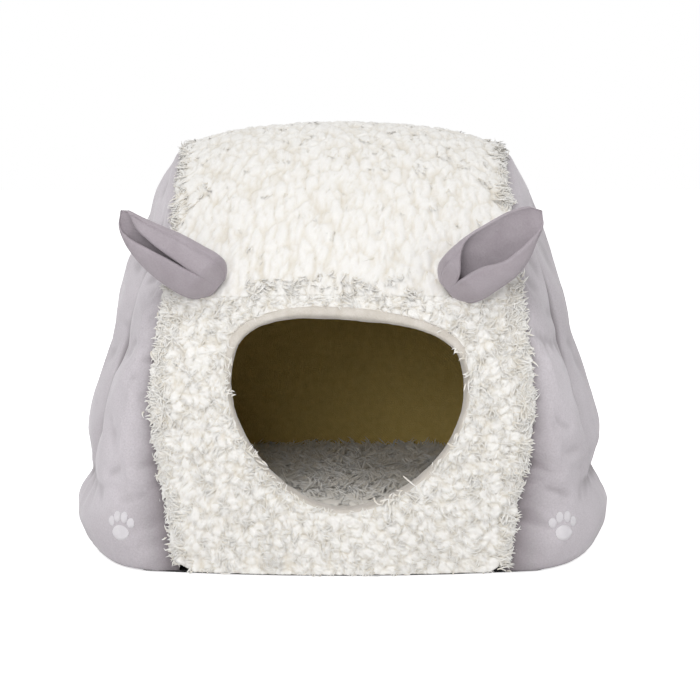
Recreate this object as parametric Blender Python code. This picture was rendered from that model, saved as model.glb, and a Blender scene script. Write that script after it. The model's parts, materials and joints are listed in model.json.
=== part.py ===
"""Covered cushion bed for a small pet, with a curly pile band, velvet sides and two ears.

Metres, +Z up, the front faces -Y, and the origin is on the floor under the middle of the bed.

The bed is sewn from a band and two side gores. The band runs up the front, over the top and
down the back. Each gore fills the side between the band and the floor. Every wall is a stack
of layers that share one outer surface: a layer lies between two depths, which are measured
from that surface towards a box-shaped core in the middle of the bed.
"""

import math

import bpy
import numpy as np
from mathutils import Matrix

# Overall sizes
BODY_WIDTH = 0.456
BODY_DEPTH = 0.424
BODY_HEIGHT = 0.362

# Side view of the band
BROW_HEIGHT = 0.222
BROW_SETBACK = 0.046
CROWN_OFFSET = 0.022
SHOULDER_HEIGHT = 0.270
SHOULDER_SETBACK = 0.058
WAIST_HEIGHT = 0.067
FRONT_CURVE = 1.6
BACK_CURVE = 3.3
ROOF_CURVE_FRONT = 1.8
ROOF_CURVE_BACK = 2.2

# The band and the gores
BAND_WIDTH = 0.284
BAND_FLOOR_WIDTH = 0.262
BAND_BELLY_WIDTH = 0.300
BAND_BELLY_HEIGHT = 0.145
BAND_CROWN = 0.014
GORE_TOP_FLARE = 0.006
GORE_CORNER = 2.5
GORE_ROOF_CORNER = 5.0
SIDE_PUFF = 0.020
WAIST_PUFF = 0.008
BOLSTER_PUFF = 0.022
BOLSTER_BELLY_HEIGHT = 0.030

# Thicknesses
PILE = 0.006
SHERPA_BACKING = 0.003
VELVET = 0.002
FILLING_DEPTH = 0.010
WALL_DEPTH = 0.0205
LINING = 0.0015
GAP = 0.0004
SEAM_GAP = 0.0016
FILLING_GAP = 0.0010

# The opening in the front, its binding round the edge
OPENING_WIDTH = 0.192
OPENING_MIDDLE_X = 0.005
OPENING_MIDDLE_HEIGHT = 0.148
OPENING_RISE = 0.056
OPENING_DROP = 0.095
OPENING_TILT = -5.0
OPENING_TOP_CORNER = 2.9
OPENING_BOTTOM_CORNER = 1.75
BINDING_WIDTH = 0.010
BINDING_PROUD = 0.003
BINDING_CLEARANCE = 0.0014

# The floor of the bed
BASE_SHEET = 0.0016
BASE_INSET = 0.003
BASE_FOAM = 0.014
FLOOR_LINING = 0.0012
FLOOR_CLEARANCE = 0.001

# The loose cushion
CUSHION_HEIGHT = 0.036
CUSHION_CROWN = 0.008
CUSHION_COVER = 0.004
CUSHION_UNDERSIDE = 0.0012
CUSHION_CLEARANCE = 0.003
CUSHION_LIFT = 0.020
CUSHION_EDGE_RADIUS = 0.014

# The ears
EAR_LENGTH = 0.100
EAR_WIDTH = 0.048
EAR_ROOT_WIDTH = 0.020
EAR_CUP = 0.009
EAR_FABRIC = 0.0012
EAR_FILLING = 0.0036
EAR_STANDOFF = 0.0045
EAR_LEFT_X = -0.102
EAR_RIGHT_X = 0.086
EAR_ROOT_HEIGHT = 0.228
EAR_RISE_ANGLE = 40.0
EAR_TURN_ANGLE = 4.0
EAR_ROOT_LEAD = 0.003

# The core that every layer's depth is measured towards
CORE_X = 0.090
CORE_Y = 0.070
CORE_TOP = 0.190

# Steps of the meshes
GORE_COLUMNS = 10
COMPARTMENT_COLUMNS = (0, 3, 7, 10)
LOW_ROWS = 3
HIGH_ROWS = 7
BAND_COLUMNS = 6
PANEL_RINGS = 3
EAR_ROWS = 8
EAR_COLUMNS = 6

GREY_VELVET = ("velvet_grey", (0.50, 0.47, 0.50, 1.0), 0.85)
EAR_VELVET = ("velvet_ear", (0.40, 0.35, 0.40, 1.0), 0.85)
CREAM_SHERPA = ("sherpa_cream", (0.80, 0.76, 0.71, 1.0), 0.95)
BINDING_PLUSH = ("binding_plush", (0.62, 0.58, 0.53, 1.0), 0.95)
MUSTARD_LINING = ("lining_mustard", (0.62, 0.48, 0.20, 1.0), 0.90)
WHITE_FIBRE = ("fibre_white", (0.86, 0.86, 0.85, 1.0), 1.0)
PALE_FOAM = ("foam_pale", (0.80, 0.78, 0.66, 1.0), 0.95)
BLACK_GRIP = ("grip_black", (0.02, 0.02, 0.02, 1.0), 0.70)


def clear_scene():
    for thing in list(bpy.data.objects):
        bpy.data.objects.remove(thing, do_unlink=True)


def make_material(name, finish):
    """A Principled material of its own for one named object."""
    label, colour, roughness = finish
    material = bpy.data.materials.new(f"{name}_{label}")
    material.use_nodes = True
    shader = material.node_tree.nodes["Principled BSDF"]
    shader.inputs["Base Color"].default_value = colour
    shader.inputs["Roughness"].default_value = roughness
    shader.inputs["Metallic"].default_value = 0.0
    return material


def add_solid(name, points, faces, finish, place=None, parent=None):
    """One closed body, whose faces are turned outwards by the sign of its volume."""
    points = np.asarray(points, dtype=float)
    faces = np.asarray(faces, dtype=int)
    corner = points[faces]
    volume = np.einsum("ij,ij->i", corner[:, 0], np.cross(corner[:, 1], corner[:, 2])).sum() / 6.0
    if volume < 0.0:
        faces = faces[:, ::-1]
    mesh = bpy.data.meshes.new(name)
    mesh.from_pydata(points.tolist(), [], faces.tolist())
    mesh.materials.append(make_material(name, finish))
    thing = bpy.data.objects.new(name, mesh)
    bpy.context.scene.collection.objects.link(thing)
    if parent is not None:
        thing.parent = parent
    if place is not None:
        thing.matrix_world = place
    mesh.update()
    return thing


def towards_core(points):
    """Unit vectors from points to the nearest place on the core, which has no lower end."""
    points = np.asarray(points, dtype=float)
    limit = np.array([CORE_X, CORE_Y, CORE_TOP])
    nearest = np.clip(points, [-CORE_X, -CORE_Y, -np.inf], limit)
    step = nearest - points
    return step / np.linalg.norm(step, axis=-1, keepdims=True)


def sink(points, depth):
    """Points moved by depth into the wall. A negative depth moves them outwards."""
    depth = np.broadcast_to(np.asarray(depth, dtype=float), np.shape(points)[:-1])
    return points + towards_core(points) * depth[..., None]


# ---------------------------------------------------------------- outer surface of the band


def front_y(z):
    return -BODY_DEPTH / 2 + PILE + BROW_SETBACK * (z / BROW_HEIGHT) ** FRONT_CURVE


def back_y(z):
    return BODY_DEPTH / 2 - PILE - SHOULDER_SETBACK * (z / SHOULDER_HEIGHT) ** BACK_CURVE


def roof_point(share):
    """Side view of the roof, from the brow at 0 to the rear shoulder at 1."""
    start, end = front_y(BROW_HEIGHT), back_y(SHOULDER_HEIGHT)
    y = start + share * (end - start)
    top = BODY_HEIGHT - PILE
    if y < CROWN_OFFSET:
        fall = (top - BROW_HEIGHT) * ((CROWN_OFFSET - y) / (CROWN_OFFSET - start)) ** ROOF_CURVE_FRONT
    else:
        fall = (top - SHOULDER_HEIGHT) * ((y - CROWN_OFFSET) / (end - CROWN_OFFSET)) ** ROOF_CURVE_BACK
    return y, top - fall


def band_half_width(z):
    """Half the band's width: narrow at the floor, widest at its belly, then the roof's width."""
    if z < BAND_BELLY_HEIGHT:
        start, end = BAND_FLOOR_WIDTH, BAND_BELLY_WIDTH
        share = z / BAND_BELLY_HEIGHT
    else:
        start, end = BAND_BELLY_WIDTH, BAND_WIDTH
        share = min((z - BAND_BELLY_HEIGHT) / (BROW_HEIGHT - BAND_BELLY_HEIGHT), 1.0)
    ease = share * share * (3.0 - 2.0 * share)
    return (start + (end - start) * ease) / 2


def band_point(y, z, x_share):
    """A place across the band. x_share runs from -1 to 1, and the edges fall back a little."""
    middle = np.array([0.0, y, z])
    edge_fall = towards_core(middle) * BAND_CROWN * x_share**2
    return middle + edge_fall + np.array([band_half_width(z) * x_share, 0.0, 0.0])


def low_heights():
    floor = BASE_SHEET + GAP
    return [floor + (WAIST_HEIGHT - floor) * row / LOW_ROWS for row in range(LOW_ROWS + 1)]


def front_heights():
    rise = BROW_HEIGHT - WAIST_HEIGHT
    return low_heights() + [WAIST_HEIGHT + rise * row / HIGH_ROWS for row in range(1, HIGH_ROWS + 1)]


def back_heights():
    rise = SHOULDER_HEIGHT - WAIST_HEIGHT
    return low_heights() + [WAIST_HEIGHT + rise * row / HIGH_ROWS for row in range(1, HIGH_ROWS + 1)]


def gore_angle(column):
    return math.pi * (column / GORE_COLUMNS - 0.5)


def gore_share(column):
    """Share of the way from the front edge to the back edge at a column."""
    s = math.sin(gore_angle(column))
    return (1.0 + math.copysign(abs(s) ** (2.0 / GORE_CORNER), s)) / 2


def gore_reach(column):
    return max(math.cos(gore_angle(column)), 0.0) ** (2.0 / GORE_CORNER)


# --------------------------------------------------------------- outer surface of the gores


def edge_yz(y, z):
    return band_point(y, z, 1.0)[1:]


def roof_edge(share):
    """Where a gore column meets the roof line of the band."""
    return edge_yz(*roof_point(share))


def high_edges(rise):
    """Heights on the front and back seams at a share of the way up from the waist."""
    front_z = WAIST_HEIGHT + (BROW_HEIGHT - WAIST_HEIGHT) * rise
    return front_z, WAIST_HEIGHT + (SHOULDER_HEIGHT - WAIST_HEIGHT) * rise


def high_yz(share, rise):
    """Side view of the upper gore, blended between its four sides."""
    front_z, back_z = high_edges(rise)
    front = edge_yz(front_y(front_z), front_z)
    back = edge_yz(back_y(back_z), back_z)
    front_low = edge_yz(front_y(WAIST_HEIGHT), WAIST_HEIGHT)
    back_low = edge_yz(back_y(WAIST_HEIGHT), WAIST_HEIGHT)
    low = (1 - share) * front_low + share * back_low
    high = roof_edge(share)
    corners = (
        (1 - share) * (1 - rise) * front_low
        + share * (1 - rise) * back_low
        + (1 - share) * rise * roof_edge(0.0)
        + share * rise * roof_edge(1.0)
    )
    return (1 - share) * front + share * back + (1 - rise) * low + rise * high - corners


def gore_surface():
    """Rows and columns of places on the right gore, before any puff, as an array."""
    rows = []
    for z in low_heights():
        start = edge_yz(front_y(z), z)
        end = edge_yz(back_y(z), z)
        half = band_half_width(z)
        reach = BODY_WIDTH / 2 - BOLSTER_PUFF - half - SEAM_GAP
        row = []
        for column in range(GORE_COLUMNS + 1):
            share = gore_share(column)
            y, height = start + (end - start) * share
            row.append((half + SEAM_GAP + reach * gore_reach(column), y, height))
        rows.append(row)
    wide = BODY_WIDTH / 2 - BOLSTER_PUFF
    narrow = BAND_WIDTH / 2 + SEAM_GAP + GORE_TOP_FLARE
    for step in range(1, HIGH_ROWS + 1):
        rise = step / HIGH_ROWS
        rounding = (1.0 - rise**GORE_ROOF_CORNER) ** (1.0 / GORE_ROOF_CORNER)
        row = []
        for column in range(GORE_COLUMNS + 1):
            share = gore_share(column)
            front_z, back_z = high_edges(rise)
            half = (1 - share) * band_half_width(front_z) + share * band_half_width(back_z)
            reach = (wide + (narrow - wide) * rise - half - SEAM_GAP) * rounding
            y, height = high_yz(share, rise)
            row.append((half + SEAM_GAP + reach * gore_reach(column), y, height))
        rows.append(row)
    return np.array(rows)


def compartment_share(column):
    """Position of a column inside its own sewn compartment, from 0 to 1."""
    for first, last in zip(COMPARTMENT_COLUMNS[:-1], COMPARTMENT_COLUMNS[1:]):
        if column <= last:
            return (column - first) / (last - first)
    return 1.0


def gore_puff():
    """How far the filled velvet stands out of the plain surface at each row and column."""
    puff = np.zeros((LOW_ROWS + HIGH_ROWS + 1, GORE_COLUMNS + 1))
    floor = BASE_SHEET + GAP
    for column in range(GORE_COLUMNS + 1):
        wide = max(math.sin(math.pi * column / GORE_COLUMNS), 0.0) ** 0.5
        pillow = max(math.sin(math.pi * compartment_share(column)), 0.0) ** 0.7
        waist = WAIST_PUFF * wide
        for row, z in enumerate(low_heights()):
            if z <= BOLSTER_BELLY_HEIGHT:
                swell = math.sin(math.pi / 2 * (z - floor) / (BOLSTER_BELLY_HEIGHT - floor))
                puff[row, column] = BOLSTER_PUFF * wide * (0.25 + 0.75 * swell)
            else:
                fall = (z - BOLSTER_BELLY_HEIGHT) / (WAIST_HEIGHT - BOLSTER_BELLY_HEIGHT)
                puff[row, column] = BOLSTER_PUFF * wide + (waist - BOLSTER_PUFF * wide) * fall**2
        for step in range(1, HIGH_ROWS + 1):
            rise = step / HIGH_ROWS
            full = SIDE_PUFF * (0.4 * wide + 0.6 * wide * pillow) * (1.0 - rise**2.5)
            swell = min(rise * HIGH_ROWS, 1.0)
            puff[LOW_ROWS + step, column] = full * swell + waist * (1.0 - swell)
    return puff


# ------------------------------------------------------------------------- solids from grids


def grid_faces(rows, columns, offset, flip, wrap):
    """Triangles over a grid of points. Every layer splits its squares the same way."""
    faces = []
    for r in range(rows - 1):
        for c in range(columns if wrap else columns - 1):
            a, b = offset + r * columns + c, offset + r * columns + (c + 1) % columns
            pair = [(a, b, b + columns), (a, b + columns, a + columns)]
            faces += [t[::-1] for t in pair] if flip else pair
    return faces


def rim_faces(rim, count):
    """Triangles that join a run of points on one layer to the same run on the other."""
    faces = []
    for a, b in rim:
        faces += [(a, a + count, b + count), (a, b + count, b)]
    return faces


def slab(outer, inner, wrap=False):
    """Points and triangles of the body between two grids, which may close on themselves."""
    rows, columns = outer.shape[:2]
    count = rows * columns
    points = np.concatenate([outer.reshape(-1, 3), inner.reshape(-1, 3)])
    faces = grid_faces(rows, columns, 0, False, wrap) + grid_faces(rows, columns, count, True, wrap)
    last = (rows - 1) * columns
    steps = range(columns if wrap else columns - 1)
    faces += rim_faces([(c, (c + 1) % columns) for c in steps], count)
    faces += rim_faces([(last + (c + 1) % columns, last + c) for c in steps], count)
    if not wrap:
        end = columns - 1
        faces += rim_faces([((r + 1) * columns, r * columns) for r in range(rows - 1)], count)
        rights = [(r * columns + end, (r + 1) * columns + end) for r in range(rows - 1)]
        faces += rim_faces(rights, count)
    return points, faces


def closed_rings(rings, cap_start, cap_end):
    """Points and triangles of a body made of rings of points, closed by a fan at each end."""
    rings = [np.asarray(ring) for ring in rings]
    size = len(rings[0])
    points = np.concatenate(rings)
    faces = []
    for r in range(len(rings) - 1):
        for k in range(size):
            a, b = r * size + k, r * size + (k + 1) % size
            faces += [(a, b, b + size), (a, b + size, a + size)]
    last = (len(rings) - 1) * size
    points = np.concatenate([points, [cap_start], [cap_end]])
    for k in range(size):
        after = (k + 1) % size
        faces.append((after, k, len(points) - 2))
        faces.append((last + k, last + after, len(points) - 1))
    return points, faces


def looped_rings(rings):
    """Points and triangles of a closed tube whose last ring joins its first."""
    size = len(rings[0])
    points = np.concatenate([np.asarray(ring) for ring in rings])
    faces = []
    for r in range(len(rings)):
        for k in range(size):
            a = r * size + k
            b = r * size + (k + 1) % size
            c = ((r + 1) % len(rings)) * size + (k + 1) % size
            d = ((r + 1) % len(rings)) * size + k
            faces += [(a, b, c), (a, c, d)]
    return points, faces


def mirrored(points):
    return points * np.array([-1.0, 1.0, 1.0])


def pull_in(grid, axis, amount):
    """The grid with its first and last line along one axis drawn towards their neighbours."""
    grid = np.swapaxes(grid.copy(), 0, axis)
    for edge, inner in ((0, 1), (-1, -2)):
        step = grid[inner] - grid[edge]
        length = np.maximum(np.linalg.norm(step, axis=-1, keepdims=True), amount * 2)
        grid[edge] = grid[edge] + step * (amount / length)
    return np.swapaxes(grid, 0, axis)


# ------------------------------------------------------------------------------ the gores


def add_side(side):
    """Velvet, fillings, foam and lining of one side. side is left or right."""
    turn = mirrored if side == "left" else (lambda points: points)
    surface = gore_surface()
    puff = gore_puff()

    def layer(name, outer, inner, finish):
        points, faces = slab(outer, inner)
        add_solid(name, turn(points), faces, finish)

    velvet_out = sink(surface, -puff)
    velvet_in = sink(surface, VELVET - puff)
    layer(f"{side}_side_velvet", velvet_out, velvet_in, GREY_VELVET)

    fill_out = sink(surface, VELVET + FILLING_GAP - puff)
    fill_in = sink(surface, FILLING_DEPTH)
    names = ("front", "middle", "rear")
    for name, first, last in zip(names, COMPARTMENT_COLUMNS[:-1], COMPARTMENT_COLUMNS[1:]):
        part = (slice(LOW_ROWS, None), slice(first, last + 1))
        pads = [pull_in(pull_in(g[part], 1, GAP), 0, GAP) for g in (fill_out, fill_in)]
        layer(f"{side}_{name}_filling", *pads, WHITE_FIBRE)
    part = (slice(0, LOW_ROWS + 1), slice(None))
    pads = [pull_in(g[part], 0, GAP) for g in (fill_out, fill_in)]
    layer(f"{side}_bolster_filling", *pads, WHITE_FIBRE)

    foam_out = sink(surface, FILLING_DEPTH + GAP)
    foam_in = sink(surface, WALL_DEPTH - LINING - GAP)
    layer(f"{side}_side_foam", foam_out, foam_in, PALE_FOAM)
    lining_out = sink(surface, WALL_DEPTH - LINING)
    layer(f"{side}_side_lining", lining_out, sink(surface, WALL_DEPTH), MUSTARD_LINING)


# ------------------------------------------------------------------------------- the band


def band_shares():
    return [2.0 * k / BAND_COLUMNS - 1.0 for k in range(BAND_COLUMNS + 1)]


def roof_rows():
    return [roof_point(gore_share(column)) for column in range(GORE_COLUMNS + 1)]


def back_rows():
    return [(back_y(z), z) for z in reversed(back_heights())]


def band_grid(rows):
    return np.array([[band_point(y, z, share) for share in band_shares()] for y, z in rows])


def opening_radius(angle, grow=0.0):
    """Distance of the opening's edge from its middle, in the direction of an angle."""
    angle -= math.radians(OPENING_TILT)
    across = OPENING_WIDTH / 2
    if math.sin(angle) >= 0.0:
        tall, corner = OPENING_RISE, OPENING_TOP_CORNER
    else:
        tall, corner = OPENING_DROP, OPENING_BOTTOM_CORNER
    part = abs(math.cos(angle) / across) ** corner + abs(math.sin(angle) / tall) ** corner
    return part ** (-1.0 / corner) + grow


def front_outline():
    """The front panel's edge, as (x_share, height) pairs, once round."""
    heights = front_heights()
    shares = band_shares()
    loop = [(share, heights[0]) for share in shares]
    loop += [(1.0, z) for z in heights[1:]]
    loop += [(share, heights[-1]) for share in reversed(shares[:-1])]
    loop += [(-1.0, z) for z in reversed(heights[1:-1])]
    return loop


def front_place(x, z):
    """A place on the front panel's outer surface, by its distance across and its height."""
    return band_point(front_y(z), z, x / band_half_width(z))


def opening_angles():
    """The direction from the opening's middle to each point of the panel's edge."""
    angles = []
    for share, z in front_outline():
        across = share * band_half_width(z) - OPENING_MIDDLE_X
        angles.append(math.atan2(z - OPENING_MIDDLE_HEIGHT, across))
    return angles


def opening_place(angle, grow):
    reach = opening_radius(angle, grow)
    x = OPENING_MIDDLE_X + reach * math.cos(angle)
    return front_place(x, OPENING_MIDDLE_HEIGHT + reach * math.sin(angle))


def front_grid():
    """Rings of places on the front panel, from the edge of the opening to the panel's edge."""
    grid = []
    for ring in range(PANEL_RINGS + 1):
        share = ring / PANEL_RINGS
        row = []
        for angle, (x_share, z) in zip(opening_angles(), front_outline()):
            reach = opening_radius(angle, BINDING_WIDTH + BINDING_CLEARANCE)
            x_in = OPENING_MIDDLE_X + reach * math.cos(angle)
            z_in = OPENING_MIDDLE_HEIGHT + reach * math.sin(angle)
            x_out = x_share * band_half_width(z)
            row.append(front_place(x_in + (x_out - x_in) * share, z_in + (z - z_in) * share))
        grid.append(row)
    return np.array(grid)


def add_front_layer(name, outer, inner, finish):
    """A layer of the front panel, which is closed round the opening."""
    grid = front_grid()
    points, faces = slab(sink(grid, outer), sink(grid, inner), wrap=True)
    add_solid(name, points, faces, finish)


def add_binding():
    """The plush rim that wraps the raw edge of the wall all round the opening."""
    proud, deep, wide = -PILE - BINDING_PROUD, WALL_DEPTH + BINDING_PROUD, BINDING_WIDTH
    bevel = BINDING_WIDTH * 0.3
    section = [
        (0.0, proud + bevel),
        (bevel, proud),
        (wide - bevel, proud),
        (wide, proud + bevel),
        (wide, deep - bevel),
        (wide - bevel, deep),
        (bevel, deep),
        (0.0, deep - bevel),
    ]
    rings = []
    for angle in opening_angles():
        ring = [sink(opening_place(angle, grow), depth) for grow, depth in section]
        rings.append(np.array(ring))
    points, faces = looped_rings(rings)
    add_solid("opening_binding", points, faces, BINDING_PLUSH)


def add_band():
    """Curly pile, foam and lining of the band: front, roof and back."""
    foam = (SHERPA_BACKING + GAP, WALL_DEPTH - LINING - GAP)
    lining = (WALL_DEPTH - LINING, WALL_DEPTH)
    add_front_layer("front_sherpa", -PILE, SHERPA_BACKING, CREAM_SHERPA)
    add_front_layer("front_foam", *foam, PALE_FOAM)
    add_front_layer("front_lining", *lining, MUSTARD_LINING)
    add_binding()

    roof = pull_in(band_grid(roof_rows()), 0, GAP / 2)
    back = pull_in(band_grid(back_rows()), 0, GAP / 2)
    whole = band_grid(roof_rows() + back_rows()[1:])
    whole[0] = roof[0]
    for name, grid, depths, finish in (
        ("roof_and_back_sherpa", whole, (-PILE, SHERPA_BACKING), CREAM_SHERPA),
        ("roof_foam", roof, foam, PALE_FOAM),
        ("back_foam", back, foam, PALE_FOAM),
        ("roof_and_back_lining", whole, lining, MUSTARD_LINING),
    ):
        points, faces = slab(sink(grid, depths[0]), sink(grid, depths[1]))
        add_solid(name, points, faces, finish)


# ---------------------------------------------------------------------- floor and cushion


def wall_outline(height, depth):
    """The loop at one height that lies at a depth inside the walls, once round."""
    lower = [z for z in low_heights() if z <= height][-1]
    surface = gore_surface()
    heights = low_heights()
    front_row = [front_place(share * band_half_width(height), height) for share in band_shares()]
    if height >= WAIST_HEIGHT:
        gore = surface[LOW_ROWS]
    else:
        row = heights.index(lower)
        share = (height - lower) / (heights[row + 1] - lower)
        gore = surface[row] + (surface[row + 1] - surface[row]) * share
    back_row = [band_point(back_y(height), height, -share) for share in band_shares()]
    loop = np.concatenate([front_row, gore[1:-1], back_row, mirrored(gore[::-1])[1:-1]])
    loop = sink(loop, depth)
    loop[:, 2] = 0.0
    return loop


def tightest_outline(heights, depth):
    """The loop that clears the walls at every one of the heights."""
    loops = np.array([wall_outline(height, depth) for height in heights])
    core = np.array([CORE_X, CORE_Y])
    room = np.linalg.norm(loops[..., :2] - np.clip(loops[..., :2], -core, core), axis=-1)
    closest = room.argmin(axis=0)
    return loops[closest, np.arange(loops.shape[1])]


def raised(loop, height):
    return loop + np.array([0.0, 0.0, height])


def add_plate(name, loop, low, high, finish):
    middle = loop.mean(axis=0)
    rings = [raised(loop, low), raised(loop, high)]
    points, faces = closed_rings(rings, raised(middle, low), raised(middle, high))
    add_solid(name, points, faces, finish)


def add_floor():
    """Grip sheet under the whole bed, and inside the walls a foam pad under a lining."""
    floor = BASE_SHEET + GAP
    add_plate("base_grip_sheet", wall_outline(floor, BASE_INSET), 0.0, BASE_SHEET, BLACK_GRIP)
    foam_top = floor + BASE_FOAM
    lining_top = foam_top + GAP + FLOOR_LINING
    inside = tightest_outline((floor, lining_top), WALL_DEPTH + FLOOR_CLEARANCE)
    add_plate("base_foam", inside, floor, foam_top, PALE_FOAM)
    add_plate("floor_lining", inside, foam_top + GAP, lining_top, MUSTARD_LINING)
    return lining_top + GAP


def cushion_profile(bottom, shrink):
    """Inset and height of each ring of the cushion, from its lower edge to its crown."""
    radius = CUSHION_EDGE_RADIUS
    top = bottom + CUSHION_HEIGHT - shrink
    bottom = bottom + CUSHION_UNDERSIDE + GAP if shrink else bottom
    inset = shrink
    rings = [(inset + radius * 0.35, bottom), (inset, bottom + radius * 0.5)]
    rings += [(inset, top - CUSHION_CROWN - radius * 0.6)]
    rings += [(inset + radius * 0.5, top - CUSHION_CROWN * 1.1)]
    rings += [(inset + radius * 2.2, top - CUSHION_CROWN * 0.5)]
    rings += [(inset + radius * 4.5, top - CUSHION_CROWN * 0.1)]
    return rings, top


def add_cushion(bottom):
    """A loose cushion that fits inside the walls and can be lifted straight up a little."""
    highest = bottom + CUSHION_HEIGHT + CUSHION_LIFT
    edge = tightest_outline((bottom, highest), WALL_DEPTH + CUSHION_CLEARANCE)
    middle = edge.mean(axis=0)
    sheet = bottom + CUSHION_UNDERSIDE

    def rings_of(profile):
        return [raised(sink(edge, inset), height) for inset, height in profile]

    outer, outer_top = cushion_profile(bottom, 0.0)
    lower_edge = (outer[0][0], sheet + GAP)
    outer = [lower_edge] + [ring for ring in outer[1:]]
    inner, inner_top = cushion_profile(bottom, CUSHION_COVER)
    outer_rings = rings_of(outer)
    inner_rings = rings_of([(inner[0][0], sheet + GAP)] + inner[1:])
    size = len(edge)
    points = np.concatenate(outer_rings + [[raised(middle, outer_top)]])
    count = len(points)
    points = np.concatenate([points] + inner_rings + [[raised(middle, inner_top)]])
    faces = []
    for start, flip in ((0, False), (count, True)):
        shell = []
        for r in range(len(outer) - 1):
            for k in range(size):
                a = start + r * size + k
                b = start + r * size + (k + 1) % size
                shell += [(a, b, b + size), (a, b + size, a + size)]
        last = start + (len(outer) - 1) * size
        tip = start + len(outer) * size
        shell += [(last + k, last + (k + 1) % size, tip) for k in range(size)]
        faces += [t[::-1] for t in shell] if flip else shell
    for k in range(size):
        a, b = k, (k + 1) % size
        faces += [(a, a + count, b + count), (a, b + count, b)]
    add_solid("cushion_top_cover", points, faces, CREAM_SHERPA)

    under = raised(sink(edge, outer[0][0]), 0.0)
    add_plate("cushion_underside", under, bottom, sheet, MUSTARD_LINING)

    fill, fill_top = cushion_profile(bottom, CUSHION_COVER + GAP)
    rings = rings_of([(fill[0][0], sheet + GAP)] + fill[1:])
    low = raised(middle, sheet + GAP)
    points, faces = closed_rings(rings, low, raised(middle, fill_top))
    add_solid("cushion_filling", points, faces, WHITE_FIBRE)


# ------------------------------------------------------------------------------- the ears


def ear_half_width(share):
    """Half the ear's width at a share of its length: narrow root, full belly, pointed tip."""
    root = EAR_ROOT_WIDTH / 2
    belly = EAR_WIDTH / 2
    swell = math.sin(math.pi * min(share, 0.985) ** 0.8) ** 0.75
    return root * (1.0 - share) ** 1.5 + (belly - root * 0.35) * swell


def ear_grid(lift):
    """Places on one layer of an ear: X across, Y out of its face, Z along it from the root."""
    grid = []
    for row in range(EAR_ROWS + 1):
        share = row / EAR_ROWS
        half = ear_half_width(share)
        line = []
        for column in range(EAR_COLUMNS + 1):
            across = 2.0 * column / EAR_COLUMNS - 1.0
            cup = -EAR_CUP * (across**2 - 0.4) * math.sin(math.pi * min(share + 0.12, 1.0)) ** 0.5
            line.append((half * across, cup + lift, EAR_ROOT_LEAD + EAR_LENGTH * share))
        grid.append(line)
    return np.array(grid)


def add_ear(side):
    """Front velvet, filling and back velvet of one ear, on an empty that lies on its hinge."""
    x = EAR_LEFT_X if side == "left" else EAR_RIGHT_X
    outward = -1.0 if side == "left" else 1.0
    surface = front_place(x, min(EAR_ROOT_HEIGHT, BROW_HEIGHT))
    stand = sink(surface, -PILE - EAR_STANDOFF)
    lean = Matrix.Rotation(math.radians(outward * (90.0 - EAR_RISE_ANGLE)), 4, "Y")
    turn = Matrix.Rotation(math.radians(outward * EAR_TURN_ANGLE), 4, "Z")
    place = Matrix.Translation((stand[0], stand[1], EAR_ROOT_HEIGHT)) @ turn @ lean
    root = bpy.data.objects.new(f"{side}_ear_hinge_line", None)
    root.matrix_world = place
    bpy.context.scene.collection.objects.link(root)
    half = EAR_FABRIC + GAP + EAR_FILLING / 2
    layers = (
        ("front", -half, -half + EAR_FABRIC, EAR_VELVET),
        ("filling", -EAR_FILLING / 2, EAR_FILLING / 2, WHITE_FIBRE),
        ("back", half - EAR_FABRIC, half, EAR_VELVET),
    )
    for name, low, high, finish in layers:
        points, faces = slab(ear_grid(low), ear_grid(high))
        add_solid(f"{side}_ear_{name}", points, faces, finish, place, root)


def build():
    clear_scene()
    cushion_floor = add_floor()
    add_band()
    for side in ("left", "right"):
        add_side(side)
        add_ear(side)
    add_cushion(cushion_floor)


build()
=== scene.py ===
"""Looks of a covered cushion bed for a small pet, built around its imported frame.

The band is a curly pile cloth with a plush-bound opening, the sides are filled velvet that is
gathered along its seams, two soft ears stand at the brow, and a loose pile cushion lies inside.
Every wall shares one outer surface, and depths are measured from it towards the bed's core.
"""
import json
import math

import bpy
import numpy as np
from mathutils import Matrix, Vector, bvhtree, noise


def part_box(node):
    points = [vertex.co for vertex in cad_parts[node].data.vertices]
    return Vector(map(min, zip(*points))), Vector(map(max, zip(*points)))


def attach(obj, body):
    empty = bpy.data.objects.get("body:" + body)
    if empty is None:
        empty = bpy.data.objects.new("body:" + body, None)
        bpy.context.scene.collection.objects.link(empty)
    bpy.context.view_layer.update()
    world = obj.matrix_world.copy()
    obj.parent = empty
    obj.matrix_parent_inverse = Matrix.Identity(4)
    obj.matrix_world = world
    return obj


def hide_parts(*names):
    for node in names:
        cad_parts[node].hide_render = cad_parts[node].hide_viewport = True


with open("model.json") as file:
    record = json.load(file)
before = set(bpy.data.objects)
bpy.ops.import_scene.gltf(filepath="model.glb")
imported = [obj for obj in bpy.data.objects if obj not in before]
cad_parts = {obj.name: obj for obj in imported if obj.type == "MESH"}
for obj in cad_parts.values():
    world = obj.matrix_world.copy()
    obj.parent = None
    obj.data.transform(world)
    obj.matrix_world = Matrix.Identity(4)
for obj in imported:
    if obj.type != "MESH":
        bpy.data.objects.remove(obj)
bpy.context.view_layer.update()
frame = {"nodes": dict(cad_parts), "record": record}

# Outer sizes of the bed, in metres, as the frame has them
BODY_WIDTH = 0.456
BODY_DEPTH = 0.424
BODY_HEIGHT = 0.362
BROW_HEIGHT = 0.222
BROW_SETBACK = 0.046
CROWN_OFFSET = 0.022
SHOULDER_HEIGHT = 0.270
SHOULDER_SETBACK = 0.058
WAIST_HEIGHT = 0.067
BAND_WIDTH = 0.284
BAND_FLOOR_WIDTH = 0.262
BAND_BELLY_WIDTH = 0.300
BAND_BELLY_HEIGHT = 0.145
BAND_CROWN = 0.014
ROOF_NARROWING = 0.007
ROOF_EDGE_FALL = 0.007
GORE_TOP_FLARE = 0.006
SIDE_PUFF = 0.020
WAIST_PUFF = 0.008
BOLSTER_PUFF = 0.022
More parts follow.
